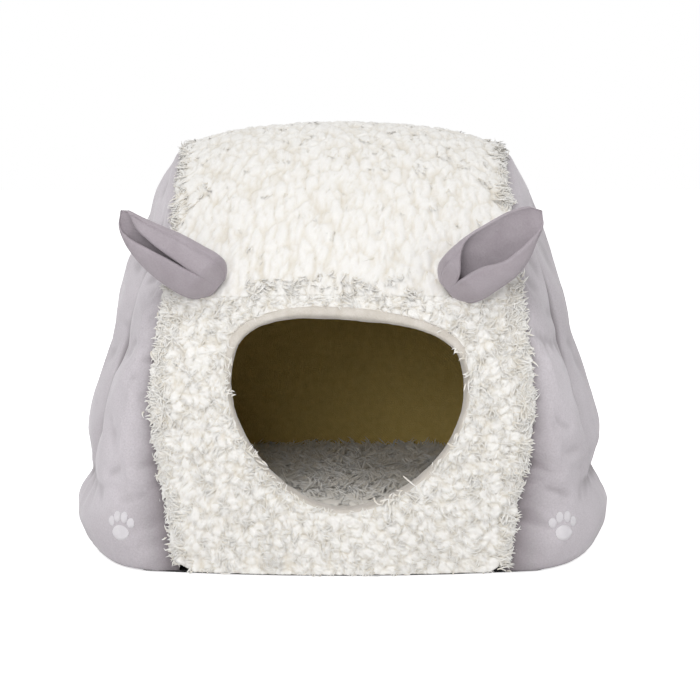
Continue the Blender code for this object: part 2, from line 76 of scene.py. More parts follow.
BOLSTER_BELLY_HEIGHT = 0.030
PILE = 0.006
WALL_DEPTH = 0.0205
SEAM_GAP = 0.0016
LINING = 0.0012
FLOOR_LEVEL = 0.002
OPENING_WIDTH = 0.192
OPENING_MIDDLE_X = 0.005
OPENING_MIDDLE_HEIGHT = 0.148
OPENING_RISE = 0.056
OPENING_DROP = 0.095
OPENING_TILT = -5.0
BINDING_WIDTH = 0.010
CORE = np.array([0.090, 0.070, 0.190])

# The cloths' colours, as linear red, green and blue
VELVET_LIGHT = (0.72, 0.68, 0.715, 1.0)
VELVET_DEEP = (0.36, 0.325, 0.345, 1.0)
# painted shade: the velvet's colour in the valleys of its folds and along the band's seams
VELVET_PAINTED_SHADE = (0.18, 0.155, 0.165, 1.0)
EAR_LIGHT = (0.45, 0.405, 0.435, 1.0)
EAR_DEEP = (0.31, 0.27, 0.295, 1.0)
PILE_TIP = (0.90, 0.89, 0.87, 1.0)
# painted shade: the pile's colour at its roots and in its hollows, mixed towards PILE_TIP at the tips
PILE_ROOT_SHADE = (0.72, 0.67, 0.58, 1.0)
BINDING_LIGHT = (0.74, 0.70, 0.65, 1.0)
BINDING_DEEP = (0.52, 0.47, 0.40, 1.0)
LINING_LIGHT = (0.66, 0.52, 0.20, 1.0)
LINING_DEEP = (0.46, 0.34, 0.10, 1.0)


# ------------------------------------------------------------------ the bed's outer surface


def ease(share):
    share = np.clip(share, 0.0, 1.0)
    return share * share * (3.0 - 2.0 * share)


def towards_core(points):
    """Unit vectors from points to the nearest place on the core, which has no lower end."""
    low = np.array([-CORE[0], -CORE[1], -np.inf])
    step = np.clip(points, low, CORE) - points
    return step / np.linalg.norm(step, axis=-1, keepdims=True)


def sink(points, depth):
    """Points moved by depth into the wall. A negative depth moves them outwards."""
    depth = np.broadcast_to(np.asarray(depth, dtype=float), points.shape[:-1])
    return points + towards_core(points) * depth[..., None]


def front_y(z):
    return -BODY_DEPTH / 2 + PILE + BROW_SETBACK * (z / BROW_HEIGHT) ** 1.6


def back_y(z):
    return BODY_DEPTH / 2 - PILE - SHOULDER_SETBACK * (z / SHOULDER_HEIGHT) ** 3.3


def roof_yz(share):
    """Side view of the roof, from the brow at 0 to the rear shoulder at 1."""
    start, end = front_y(BROW_HEIGHT), back_y(SHOULDER_HEIGHT)
    y = start + share * (end - start)
    top = BODY_HEIGHT - PILE
    ahead = np.clip((CROWN_OFFSET - y) / (CROWN_OFFSET - start), 0.0, None) ** 1.8
    behind = np.clip((y - CROWN_OFFSET) / (end - CROWN_OFFSET), 0.0, None) ** 2.2
    return y, top - (top - BROW_HEIGHT) * ahead - (top - SHOULDER_HEIGHT) * behind


def band_half_width(z):
    low = ease(z / BAND_BELLY_HEIGHT)
    high = ease((z - BAND_BELLY_HEIGHT) / (BROW_HEIGHT - BAND_BELLY_HEIGHT))
    wide = BAND_FLOOR_WIDTH + (BAND_BELLY_WIDTH - BAND_FLOOR_WIDTH) * low
    return (wide + (BAND_WIDTH - BAND_BELLY_WIDTH) * high) / 2 - ROOF_NARROWING * crown_share(z)


def crown_share(z):
    """0 up to the brow, and 1 at the top of the roof."""
    return ease((z - BROW_HEIGHT) / (BODY_HEIGHT - PILE - BROW_HEIGHT))


def band_place(y, z, x_share):
    """A place across the band. x_share runs from -1 to 1, and the edges fall back a little."""
    y, z, x_share = np.broadcast_arrays(y, z, x_share)
    middle = np.stack([np.zeros(y.shape), y, z], axis=-1)
    fall = BAND_CROWN * x_share**2 + ROOF_EDGE_FALL * x_share**8 * crown_share(z)
    fallen = middle + towards_core(middle) * fall[..., None]
    fallen[..., 0] = band_half_width(z) * x_share
    return fallen


def front_place(x, z):
    return band_place(front_y(z), z, x / band_half_width(z))


def rear_run(run):
    """Side view of the roof, as run goes from 0 to 1, and of the back, as it goes on to 2."""
    y, z = roof_yz(np.clip(run, 0.0, 1.0))
    drop = np.clip(run - 1.0, 0.0, 1.0)
    low = SHOULDER_HEIGHT + (FLOOR_LEVEL - SHOULDER_HEIGHT) * drop
    return np.where(run > 1.0, back_y(low), y), np.where(run > 1.0, low, z)


def roof_place(x_share, run):
    y, z = rear_run(run)
    return band_place(y, z, x_share)


def edge_yz(y, z):
    return band_place(y, z, 1.0)[..., 1:]


def gore_place(u, v):
    """A place on the right gore. u runs from its front seam to its back seam. v is -1 at the
    floor, 0 at the waist and 1 at the roof seam."""
    u, v = np.broadcast_arrays(u, v)
    angle = math.pi * (u - 0.5)
    sine = np.sin(angle)
    share = (1.0 + np.sign(sine) * np.abs(sine) ** 0.8) / 2
    out = np.clip(np.cos(angle), 0.0, None) ** 0.8
    rise = np.clip(v, 0.0, 1.0)
    low_z = FLOOR_LEVEL + (WAIST_HEIGHT - FLOOR_LEVEL) * (np.clip(v, -1.0, 0.0) + 1.0)
    front_z = np.where(v > 0, WAIST_HEIGHT + (BROW_HEIGHT - WAIST_HEIGHT) * rise, low_z)
    back_z = np.where(v > 0, WAIST_HEIGHT + (SHOULDER_HEIGHT - WAIST_HEIGHT) * rise, low_z)
    front, back = edge_yz(front_y(front_z), front_z), edge_yz(back_y(back_z), back_z)
    s, r = share[..., None], rise[..., None]
    front_low = edge_yz(front_y(WAIST_HEIGHT), WAIST_HEIGHT)
    back_low = edge_yz(back_y(WAIST_HEIGHT), WAIST_HEIGHT)
    waist_line = (1 - s) * front_low + s * back_low
    roof_line = edge_yz(*roof_yz(share))
    roof_ends = (1 - s) * edge_yz(*roof_yz(0.0)) + s * edge_yz(*roof_yz(1.0))
    side = (1 - s) * front + s * back
    high = side + (1 - r) * waist_line + r * roof_line - (1 - r) * waist_line - r * roof_ends
    yz = np.where(v[..., None] > 0, high, side)
    half = (1 - share) * band_half_width(front_z) + share * band_half_width(back_z)
    half = half - ROOF_NARROWING * crown_share(yz[..., 1]) * rise**2
    wide = BODY_WIDTH / 2 - BOLSTER_PUFF
    narrow = BAND_WIDTH / 2 + SEAM_GAP + GORE_TOP_FLARE
    reach = (wide + (narrow - wide) * rise - half - SEAM_GAP) * (1 - rise**5.0) ** 0.2
    x = half + SEAM_GAP + reach * out
    return np.concatenate([x[..., None], yz], axis=-1)


def opening_radius(angle, grow=0.0):
    """Distance of the opening's edge from its middle, in the direction of an angle."""
    turned = angle - math.radians(OPENING_TILT)
    upper = np.sin(turned) >= 0.0
    tall = np.where(upper, OPENING_RISE, OPENING_DROP)
    corner = np.where(upper, 2.9, 1.75)
    across = np.abs(np.cos(turned) / (OPENING_WIDTH / 2)) ** corner
    return (across + np.abs(np.sin(turned) / tall) ** corner) ** (-1.0 / corner) + grow


def opening_place(angle, grow=0.0):
    reach = opening_radius(angle, grow)
    x = OPENING_MIDDLE_X + reach * np.cos(angle)
    return front_place(x, OPENING_MIDDLE_HEIGHT + reach * np.sin(angle))


# ----------------------------------------------------------------------------- mesh helpers


def make_piece(name, points, faces, material):
    """A smooth mesh object from an array of points and an array of faces of one size."""
    points = np.asarray(points, dtype=np.float32).reshape(-1, 3)
    faces = np.asarray(faces, dtype=np.int32)
    mesh = bpy.data.meshes.new(name)
    mesh.vertices.add(len(points))
    mesh.vertices.foreach_set("co", points.ravel())
    mesh.loops.add(faces.size)
    mesh.loops.foreach_set("vertex_index", faces.ravel())
    mesh.polygons.add(len(faces))
    mesh.polygons.foreach_set("loop_start", np.arange(0, faces.size, faces.shape[1], dtype=np.int32))
    mesh.update(calc_edges=True)
    mesh.validate()
    mesh.shade_smooth()
    mesh.materials.append(material)
    piece = bpy.data.objects.new(name, mesh)
    bpy.context.scene.collection.objects.link(piece)
    return piece


def grid_quads(rows, columns, wrap=False):
    """Quads over a grid of points, row by row. With wrap, the last column joins the first."""
    r, c = np.meshgrid(np.arange(rows - 1), np.arange(columns if wrap else columns - 1), indexing="ij")
    a, b = r * columns + c, r * columns + (c + 1) % columns
    return np.stack([a, b, b + columns, a + columns], axis=-1).reshape(-1, 4)


def shell_quads(rows, columns, wrap=False):
    """Quads of a closed shell between two grids of the same size, the outer one first."""
    count = rows * columns
    front = grid_quads(rows, columns, wrap)
    faces = [front, front[:, ::-1] + count]
    steps = np.arange(columns if wrap else columns - 1)
    after = (steps + 1) % columns
    last = (rows - 1) * columns
    runs = [(steps, after), (last + after, last + steps)]
    if not wrap:
        down = np.arange(rows - 1) * columns
        runs += [(down + columns, down), (down + columns - 1, down + 2 * columns - 1)]
    for a, b in runs:
        faces.append(np.stack([b, a, a + count, b + count], axis=-1))
    return np.concatenate(faces)


def zipped(first, second):
    """Triangles between two open or closed runs of points, which have different counts."""
    a, b, faces = 0, 0, []
    while a < len(first) - 1 or b < len(second) - 1:
        ahead = (a + 1) / (len(first) - 1) <= (b + 1) / (len(second) - 1)
        if (ahead and a < len(first) - 1) or b == len(second) - 1:
            faces.append((first[a], first[a + 1], second[b]))
            a += 1
        else:
            faces.append((first[a], second[b + 1], second[b]))
            b += 1
    return np.array(faces)


def spread_steps(count, step):
    """Every step-th place of a run, with its last place too."""
    return np.unique(np.append(np.arange(0, count, step), count - 1))


def backed_shell(outer, inner, step, wrap=False):
    """Points and triangles of a closed shell: a fine outer grid, and every step-th inner place."""
    rows, columns = outer.shape[:2]
    r = spread_steps(rows, step)
    c = np.arange(0, columns, step) if wrap else spread_steps(columns, step)
    back = inner[np.ix_(r, c)]
    count = rows * columns
    fine = np.arange(count).reshape(rows, columns)
    rough = np.arange(back.shape[0] * back.shape[1]).reshape(back.shape[:2]) + count
    quads = grid_quads(rows, columns, wrap)
    under = grid_quads(len(r), len(c), wrap)[:, ::-1] + count
    faces = [q[:, k] for q in (quads, under) for k in ([0, 1, 2], [0, 2, 3])]
    if wrap:
        fine, rough = (np.concatenate([g, g[:, :1]], axis=1) for g in (fine, rough))
    faces += [zipped(fine[0], rough[0])[:, ::-1], zipped(fine[-1], rough[-1])]
    if not wrap:
        faces += [zipped(fine[:, 0], rough[:, 0]), zipped(fine[:, -1], rough[:, -1])[:, ::-1]]
    points = np.concatenate([outer.reshape(-1, 3), back.reshape(-1, 3)])
    return points, facing_out(points, np.concatenate(faces))


def capped(points):
    """A tube's rings as points and triangles, with both ends closed."""
    rings, size = points.shape[:2]
    quads = grid_quads(rings, size, wrap=True)
    faces = np.concatenate([quads[:, [0, 1, 2]], quads[:, [0, 2, 3]]])
    k = np.arange(size)
    low = np.stack([(k + 1) % size, k, np.full(size, rings * size)], axis=-1)
    high = np.stack([k, (k + 1) % size, np.full(size, rings * size + 1)], axis=-1)
    high = high + [[(rings - 1) * size] * 2 + [0]]
    middles = np.stack([points[0].mean(axis=0), points[-1].mean(axis=0)])
    points = np.concatenate([points.reshape(-1, 3), middles])
    faces = np.concatenate([faces, low, high])
    return points, facing_out(points, faces)


def facing_out(points, faces):
    """The faces, turned over if they enclose a negative volume."""
    flat = np.asarray(points).reshape(-1, 3)
    a, b, c = flat[faces[:, 0]], flat[faces[:, 1]], flat[faces[:, 2]]
    volume = np.einsum("ij,ij->", a, np.cross(b, c))
    if faces.shape[1] == 4:
        d = flat[faces[:, 3]]
        volume += np.einsum("ij,ij->", a, np.cross(c, d))
    return faces if volume > 0 else faces[:, ::-1]


def shell(name, outer, inner, material, wrap=False):
    """A closed shell piece between two grids of points."""
    rows, columns = outer.shape[:2]
    points = np.concatenate([outer.reshape(-1, 3), inner.reshape(-1, 3)])
    return make_piece(name, points, facing_out(points, shell_quads(rows, columns, wrap)), material)


def mirrored(points):
    return points * np.array([-1.0, 1.0, 1.0])


def soft_noise(points, scale, seed):
    """Smooth noise from -1 to 1 at each point. scale is the size of its features in metres."""
    offset = np.array([seed * 17.3, seed * 5.1, seed * 9.7])
    flat = (np.asarray(points).reshape(-1, 3) / scale + offset).tolist()
    return np.array([noise.noise(p) for p in flat]).reshape(np.shape(points)[:-1])


def cells(a, b, seed):
    """Rounded cells one unit across: a dome from 0 to 1, and how far a place is from a crease."""
    flat = np.stack([a, b, np.full(a.shape, seed * 7.7)], axis=-1).reshape(-1, 3).tolist()
    near = np.array([noise.voronoi(p)[0][:2] for p in flat]).reshape(a.shape + (2,))
    dome = np.clip(1.0 - 1.1 * near[..., 0] ** 2, 0.0, 1.0)
    return dome, np.clip((near[..., 1] - near[..., 0]) / 0.32, 0.0, 1.0)


def curl_relief(a, b, size, stretch, seed):
    """Height from 0 to 1 of a curly pile over a flat place in metres. stretch combs it along b."""
    flat = np.stack([a, b, np.zeros(a.shape)], axis=-1)
    a = a + soft_noise(flat, size * 1.4, seed) * size * 0.55
    b = b + soft_noise(flat, size * 1.4, seed + 0.5) * size * 0.55
    wide, wide_crease = cells(a / size, b / (size * stretch), seed)
    small, small_crease = cells(a / size * 2.1, b / (size * stretch) * 2.1, seed + 1.0)
    fine = soft_noise(np.stack([a, b / stretch, np.zeros(a.shape)], -1), size * 0.22, seed + 2.0)
    deep = 0.45 * wide + 0.25 * np.sqrt(wide_crease) + 0.15 * small + 0.12 * small_crease
    return np.clip(deep + 0.09 * fine + 0.03, 0.0, 1.0)


# ------------------------------------------------------------------------------ materials


def add_group(name, inputs, outputs):
    """An empty node group with named sockets. Each socket is a (name, type, default)."""
    group = bpy.data.node_groups.new(name, "ShaderNodeTree")
    for direction, sockets in (("INPUT", inputs), ("OUTPUT", outputs)):
        for label, kind, value in sockets:
            socket = group.interface.new_socket(label, in_out=direction, socket_type=kind)
            if value is not None:
                socket.default_value = value
    start = group.nodes.new("NodeGroupInput")
    end = group.nodes.new("NodeGroupOutput")
    return group, start, end


def node(tree, kind, settings=None, links=None):
    """A new node with settings on its own fields and inputs, and links to its inputs."""
    made = tree.nodes.new(kind)
    for key, value in (settings or {}).items():
        if key in made.inputs and not hasattr(made, key):
            made.inputs[key].default_value = value
        else:
            setattr(made, key, value)
    for key, source in (links or {}).items():
        tree.links.new(source, made.inputs[key])
    return made


def noise_node(tree, where, scale, detail=3.0, rough=0.5):
    settings = {"Scale": scale, "Detail": detail, "Roughness": rough}
    return node(tree, "ShaderNodeTexNoise", settings, {"Vector": where}).outputs["Fac"]


def maths(tree, operation, a, b=None, clamp=False):
    """A Math node. Its two values are sockets or numbers."""
    made = node(tree, "ShaderNodeMath", {"operation": operation, "use_clamp": clamp})
    for k, value in enumerate((a, b)):
        if isinstance(value, bpy.types.NodeSocket):
            tree.links.new(value, made.inputs[k])
        elif value is not None:
            made.inputs[k].default_value = value
    return made.outputs[0]


def mix_colour(tree, share, a, b, blend="MIX"):
    """A colour mix. The share and the two colours are sockets or values."""
    made = node(tree, "ShaderNodeMix", {"data_type": "RGBA", "blend_type": blend})
    for k, value in ((0, share), (6, a), (7, b)):
        if isinstance(value, bpy.types.NodeSocket):
            tree.links.new(value, made.inputs[k])
        else:
            made.inputs[k].default_value = value
    return made.outputs[2]


def build_brushed_nap():
    """Patches where a short nap lies one way or the other, and the fine grain of its tips."""
    inputs = [("Patch Scale", "NodeSocketFloat", 14.0), ("Grain Scale", "NodeSocketFloat", 900.0)]
    outputs = [("Patch", "NodeSocketFloat", None), ("Grain", "NodeSocketFloat", None)]
    group, start, end = add_group("brushed_nap", inputs, outputs)
    where = node(group, "ShaderNodeTexCoord").outputs["Object"]
    wide = node(group, "ShaderNodeTexNoise", {"Detail": 2.0, "Distortion": 0.6}, {"Vector": where})
    group.links.new(start.outputs["Patch Scale"], wide.inputs["Scale"])
    grain = node(group, "ShaderNodeTexNoise", {"Detail": 2.0, "Roughness": 0.7}, {"Vector": where})
    group.links.new(start.outputs["Grain Scale"], grain.inputs["Scale"])
    ends = {"From Min": 0.35, "From Max": 0.68}
    ramp = node(group, "ShaderNodeMapRange", ends, {"Value": wide.outputs["Fac"]})
    group.links.new(ramp.outputs["Result"], end.inputs["Patch"])
    group.links.new(grain.outputs["Fac"], end.inputs["Grain"])
    return group


def build_plain_weave():
    """Crossed threads: a height for the bump, and a slow noise for slubs in the yarn."""
    inputs = [("Threads per Metre", "NodeSocketFloat", 1400.0)]
    outputs = [("Height", "NodeSocketFloat", None), ("Slub", "NodeSocketFloat", None)]
    group, start, end = add_group("plain_weave", inputs, outputs)
    where = node(group, "ShaderNodeTexCoord").outputs["Object"]
    scaled = node(group, "ShaderNodeVectorMath", {"operation": "SCALE"}, {"Vector": where})
    group.links.new(start.outputs["Threads per Metre"], scaled.inputs["Scale"])
    parts = node(group, "ShaderNodeSeparateXYZ", links={"Vector": scaled.outputs["Vector"]})
    warp = maths(group, "SINE", maths(group, "ADD", parts.outputs["X"], parts.outputs["Y"]))
    weft = maths(group, "SINE", parts.outputs["Z"])
    height = maths(group, "MULTIPLY", warp, weft)
    slub = noise_node(group, where, 160.0, 3.0, 0.6)
    group.links.new(height, end.inputs["Height"])
    group.links.new(slub, end.inputs["Slub"])
    return group


def build_pile_tone():
    """Tone of a curly pile: painted shade at each curl's root that lightens to its tip, with a little drift
    between curls.
    """
    outputs = [("Tip", "NodeSocketFloat", None), ("Fluff", "NodeSocketFloat", None)]
    group, start, end = add_group("pile_tone", [("Fluff Scale", "NodeSocketFloat", 520.0)], outputs)
    where = node(group, "ShaderNodeTexCoord").outputs["Object"]
    tip = node(group, "ShaderNodeAttribute", {"attribute_name": "pile_tip"}).outputs["Fac"]
    tone = node(group, "ShaderNodeAttribute", {"attribute_name": "curl_tone"}).outputs["Fac"]
    fluff = node(group, "ShaderNodeTexNoise", {"Detail": 4.0, "Roughness": 0.65}, {"Vector": where})
    group.links.new(start.outputs["Fluff Scale"], fluff.inputs["Scale"])
    drift = maths(group, "MULTIPLY", maths(group, "SUBTRACT", tone, 0.5), 0.35)
    shaken = maths(group, "MULTIPLY", maths(group, "SUBTRACT", fluff.outputs["Fac"], 0.5), 0.5)
    total = maths(group, "ADD", maths(group, "ADD", tip, drift), shaken, clamp=True)
    group.links.new(total, end.inputs["Tip"])
    group.links.new(fluff.outputs["Fac"], end.inputs["Fluff"])
    return group


GROUPS = {
    "brushed_nap": build_brushed_nap(),
    "plain_weave": build_plain_weave(),
    "pile_tone": build_pile_tone(),
}


def start_material(name, **sockets):
    """A material's tree and its Principled shader, with plain values on the shader's sockets."""
    material = bpy.data.materials.new(name)
    material.use_nodes = True
    tree = material.node_tree
    shader = tree.nodes["Principled BSDF"]
    for label, value in sockets.items():
        shader.inputs[label.replace("_", " ")].default_value = value
    return material, tree, shader


def place_group(tree, name, **values):
    made = node(tree, "ShaderNodeGroup")
    made.node_tree = GROUPS[name]
    for label, value in values.items():
        made.inputs[label.replace("_", " ")].default_value = value
    return made


def spread_of(tree, value, low, high):
    """A value from 0 to 1, spread from low to high."""
    made = node(tree, "ShaderNodeMapRange", {"To Min": low, "To Max": high}, {"Value": value})
    return made.outputs["Result"]


def bump(tree, shader, height, strength, distance):
    made = node(tree, "ShaderNodeBump", {"Strength": strength, "Distance": distance}, {"Height": height})
    tree.links.new(made.outputs["Normal"], shader.inputs["Normal"])


def velvet_material(name, light, deep, painted_shade_colour, patch_scale):
    """Short nap that brushes lighter or deeper, with painted shade where fold_shade is high and a painted
    sheen that lightens it towards grazing angles.
    """
    sheen = {"Sheen_Weight": 0.4, "Sheen_Roughness": 0.35, "Sheen_Tint": (1.0, 0.98, 1.0, 1.0)}
    material, tree, shader = start_material(name, Specular_IOR_Level=0.2, **sheen)
    nap = place_group(tree, "brushed_nap", Patch_Scale=patch_scale, Grain_Scale=700.0)
    patch, grain = nap.outputs["Patch"], nap.outputs["Grain"]
    facing = node(tree, "ShaderNodeLayerWeight", {"Blend": 0.4}).outputs["Facing"]
    lay = maths(tree, "ADD", maths(tree, "MULTIPLY", patch, 0.40), maths(tree, "MULTIPLY", grain, 0.75))
    colour = mix_colour(tree, maths(tree, "ADD", lay, 0.02, clamp=True), deep, light)
    # painted sheen: towards grazing angles the colour is mixed towards the light tone
    painted_sheen_colour = mix_colour(tree, maths(tree, "MULTIPLY", facing, 0.25), colour, light)
    shade = node(tree, "ShaderNodeAttribute", {"attribute_name": "fold_shade"}).outputs["Fac"]
    # painted shade: where fold_shade is high the colour is mixed towards the shade colour
    tree.links.new(mix_colour(tree, shade, painted_sheen_colour, painted_shade_colour), shader.inputs["Base Color"])
    tree.links.new(spread_of(tree, grain, 0.66, 0.91), shader.inputs["Roughness"])
    bump(tree, shader, grain, 0.5, 0.0008)
    return material


def pile_material(name, tip, root):
    settings = {"Sheen_Weight": 0.25, "Sheen_Roughness": 0.6, "Specular_IOR_Level": 0.05}
    material, tree, shader = start_material(name, **settings)
    tone = place_group(tree, "pile_tone", Fluff_Scale=650.0)
    # painted shade: the root colour towards the roots and hollows, lightening to the tip colour
    tree.links.new(mix_colour(tree, tone.outputs["Tip"], root, tip), shader.inputs["Base Color"])
    tree.links.new(spread_of(tree, tone.outputs["Fluff"], 0.8, 1.0), shader.inputs["Roughness"])
    bump(tree, shader, tone.outputs["Fluff"], 0.25, 0.0003)
    return material


def woven_material(name, light, deep, threads, strength=0.3):
    material, tree, shader = start_material(name, Specular_IOR_Level=0.2, Sheen_Weight=0.15)
    weave = place_group(tree, "plain_weave", Threads_per_Metre=threads)
    slub = weave.outputs["Slub"]
    tree.links.new(mix_colour(tree, slub, deep, light), shader.inputs["Base Color"])
    tree.links.new(spread_of(tree, slub, 0.75, 0.95), shader.inputs["Roughness"])
    bump(tree, shader, weave.outputs["Height"], strength, 0.0004)
    return material


def porous_material(name, light, deep, cell_scale):
    """Foam cells or loose fibre, for the pieces inside the walls."""
    material, tree, shader = start_material(name, Roughness=0.95, Specular_IOR_Level=0.1)
    where = node(tree, "ShaderNodeTexCoord").outputs["Object"]
    cells = node(tree, "ShaderNodeTexVoronoi", {"Scale": cell_scale}, {"Vector": where}).outputs["Distance"]
    tree.links.new(mix_colour(tree, cells, deep, light), shader.inputs["Base Color"])
    bump(tree, shader, cells, 0.5, 0.001)
    return material


def grip_material():
    """Black non-slip cloth with a regular pattern of small raised dots."""
    material, tree, shader = start_material("grip_black", Specular_IOR_Level=0.35)
    where = node(tree, "ShaderNodeTexCoord").outputs["Object"]
    dots = node(tree, "ShaderNodeTexVoronoi", {"Scale": 160.0, "Randomness": 0.0}, {"Vector": where})
    ends = {"From Min": 0.42, "From Max": 0.28}
    dot = node(tree, "ShaderNodeMapRange", ends, {"Value": dots.outputs["Distance"]})
    mask = dot.outputs["Result"]
    colour = mix_colour(tree, mask, (0.022, 0.022, 0.024, 1), (0.05, 0.05, 0.052, 1))
    tree.links.new(colour, shader.inputs["Base Color"])
    tree.links.new(spread_of(tree, mask, 0.85, 0.50), shader.inputs["Roughness"])
    bump(tree, shader, mask, 0.8, 0.0006)
    return material


GREY_VELVET = velvet_material("velvet_grey", VELVET_LIGHT, VELVET_DEEP, VELVET_PAINTED_SHADE, 9.0)
EAR_VELVET = velvet_material("velvet_ear", EAR_LIGHT, EAR_DEEP, VELVET_PAINTED_SHADE, 30.0)
CREAM_PILE = pile_material("sherpa_cream", PILE_TIP, PILE_ROOT_SHADE)
BINDING_PLUSH = velvet_material("binding_plush", BINDING_LIGHT, BINDING_DEEP, BINDING_DEEP, 60.0)
MUSTARD_LINING = woven_material("lining_mustard", LINING_LIGHT, LINING_DEEP, 2600.0)
WHITE_FIBRE = porous_material("fibre_white", (0.88, 0.88, 0.87, 1), (0.70, 0.70, 0.69, 1), 240.0)
PALE_FOAM = porous_material("foam_pale", (0.84, 0.82, 0.70, 1), (0.62, 0.58, 0.42, 1), 700.0)
BLACK_GRIP = grip_material()
GREY_THREAD = woven_material("thread_grey", (0.86, 0.84, 0.86, 1), (0.70, 0.67, 0.70, 1), 9000.0)

SLOT_MATERIALS = {
    "velvet_grey": GREY_VELVET,
    "velvet_ear": EAR_VELVET,
    "sherpa_cream": CREAM_PILE,
    "binding_plush": BINDING_PLUSH,
    "lining_mustard": MUSTARD_LINING,
    "fibre_white": WHITE_FIBRE,
    "foam_pale": PALE_FOAM,
    "grip_black": BLACK_GRIP,
}


def dress_frame():
    """The kept frame nodes, which are mostly inside the walls, get the procedural materials."""
    for part in frame["record"]["subparts"]:
        thing = frame["nodes"][part["node"]]
        thing.data.materials.clear()
        thing.data.materials.append(SLOT_MATERIALS[part["material_slot"]])


# ------------------------------------------------------------------------------ curly pile


def add_tone(piece, tips, tones):
    """Per-point values that the pile material reads: how near the tip, which sets the painted shade towards
    the roots, and the curl's own tone.
    """
    for label, values in (("pile_tip", tips), ("curl_tone", tones)):
        layer = piece.data.attributes.new(label, "FLOAT", "POINT")
        layer.data.foreach_set("value", np.asarray(values, dtype=np.float32).ravel())


LOCK_RINGS = 4
LOCK_SIDES = 3
STRAND_FLATNESS = 0.55
STRAND_PROFILE = (0.75, 1.0, 0.9, 0.55)
PILE_FOOT = 0.0006


def strand_faces():
    """Triangles of one strand: a tapered three-sided tube with a closed root and a pointed tip."""
    faces = [(0, 2, 1)]
    for ring in range(LOCK_RINGS - 1):
        for k in range(LOCK_SIDES):
            a, b = ring * LOCK_SIDES + k, ring * LOCK_SIDES + (k + 1) % LOCK_SIDES
            faces += [(a, b, b + LOCK_SIDES), (a, b + LOCK_SIDES, a + LOCK_SIDES)]
    last, tip = (LOCK_RINGS - 1) * LOCK_SIDES, LOCK_RINGS * LOCK_SIDES
    faces += [(last + k, last + (k + 1) % LOCK_SIDES, tip) for k in range(LOCK_SIDES)]
    return np.array(faces)


def lock_spines(count, strands, size, curl, flow, axes, random):
    """Centre lines of every strand. A lock's strands share its curl and draw together."""
    across, along, outward = axes
    length = size * random.uniform(0.75, 1.25, count)
    heading = np.arctan2(flow[:, 1], flow[:, 0]) + random.normal(0.0, 0.25 + 0.75 * curl, count)
    twist = random.normal(0.0, 0.3 + 1.0 * curl, count)
    start_lean = random.uniform(0.7, 1.2, count) + 0.5 * (1.0 - curl) ** 2
    end_lean = start_lean + random.uniform(0.2, 0.7, count) * (0.4 + curl)
    share = np.linspace(0.0, 1.0, LOCK_RINGS + 1)
    spread = random.normal(0.0, 0.16, (2, count, strands, 1))
    heading = heading[:, None, None] + random.normal(0.0, 0.30, (count, strands, 1))
    turn = heading + (twist[:, None] + random.normal(0.0, 0.3, (count, strands)))[..., None] * share
    lean = (start_lean + (end_lean - start_lean) * share[:, None]).T[:, None]
    lean = lean + random.normal(0.0, 0.18, (count, strands, 1))
    along_step = (np.cos(turn) * np.sin(lean), np.sin(turn) * np.sin(lean), np.cos(lean))
    place = [np.cumsum(step, axis=-1) / LOCK_RINGS for step in along_step]
    drawn = 1.0 - 0.6 * share
    place[0] = place[0] - place[0][..., :1] + spread[0] * 2.2 * drawn
    place[1] = place[1] - place[1][..., :1] + spread[1] * 2.2 * drawn
    place[2] = place[2] - place[2][..., :1]
    place = [p * length[:, None, None] for p in place]
    spine = sum(p[..., None] * axis[:, None, None] for p, axis in zip(place, (across, along, outward)))
    return spine, length


def add_locks(name, roots, axes, flow, size, curl, strands, random, massed=1.0):
    """A crowd of small wool locks that rise from a cloth, lean with the flow and curl over.

    flow is the (across, along) direction for every root, size the length of a lock, and curl
    is 0 for combed locks and 1 for tightly curled ones. massed is how far they shade as one.
    """
    count = len(roots)
    spine, length = lock_spines(count, strands, size, curl, flow, axes, random)
    spine = spine + roots[:, None, None]
    step = np.gradient(spine, axis=2)
    step /= np.linalg.norm(step, axis=-1, keepdims=True)
    sideways = np.cross(step, axes[2][:, None, None])
    sideways /= np.maximum(np.linalg.norm(sideways, axis=-1, keepdims=True), 1e-9)
    flat = np.cross(sideways, step)
    spin = np.linspace(0.0, 2 * math.pi, LOCK_SIDES, endpoint=False)
    width = (length[:, None] * random.uniform(0.075, 0.120, (count, strands)))[..., None]
    radius = (width * np.array(STRAND_PROFILE))[..., None, None]
    ring = np.cos(spin)[:, None] * sideways[:, :, :LOCK_RINGS, None]
    ring = ring + STRAND_FLATNESS * np.sin(spin)[:, None] * flat[:, :, :LOCK_RINGS, None]
    tubes = spine[:, :, :LOCK_RINGS, None] + ring * radius
    tubes = tubes.reshape(count * strands, LOCK_RINGS * LOCK_SIDES, 3)
    points = np.concatenate([tubes, spine[:, :, -1].reshape(-1, 1, 3)], axis=1)
    points[..., 2] = np.maximum(points[..., 2], PILE_FOOT)
    one = facing_out(points[0], strand_faces())
    start = np.arange(count * strands) * points.shape[1]
    piece = make_piece(name, points, (one[None] + start[:, None, None]).reshape(-1, 3), CREAM_PILE)
    soften_normals(piece, ring, axes[2] * massed, strands)
    # painted shade: each strand is darkest at its root and lightest at its tip
    share = np.repeat(np.arange(LOCK_RINGS) / LOCK_RINGS, LOCK_SIDES)
    tips = np.broadcast_to(np.append(share, 1.0), points.shape[:2])
    tones = np.repeat(random.uniform(0, 1, count), strands)
    tones = np.clip(tones + random.normal(0, 0.15, count * strands), 0, 1)
    add_tone(piece, tips, np.broadcast_to(tones[:, None], tips.shape))
    add_strand_map(piece, tips, tones)
    return piece


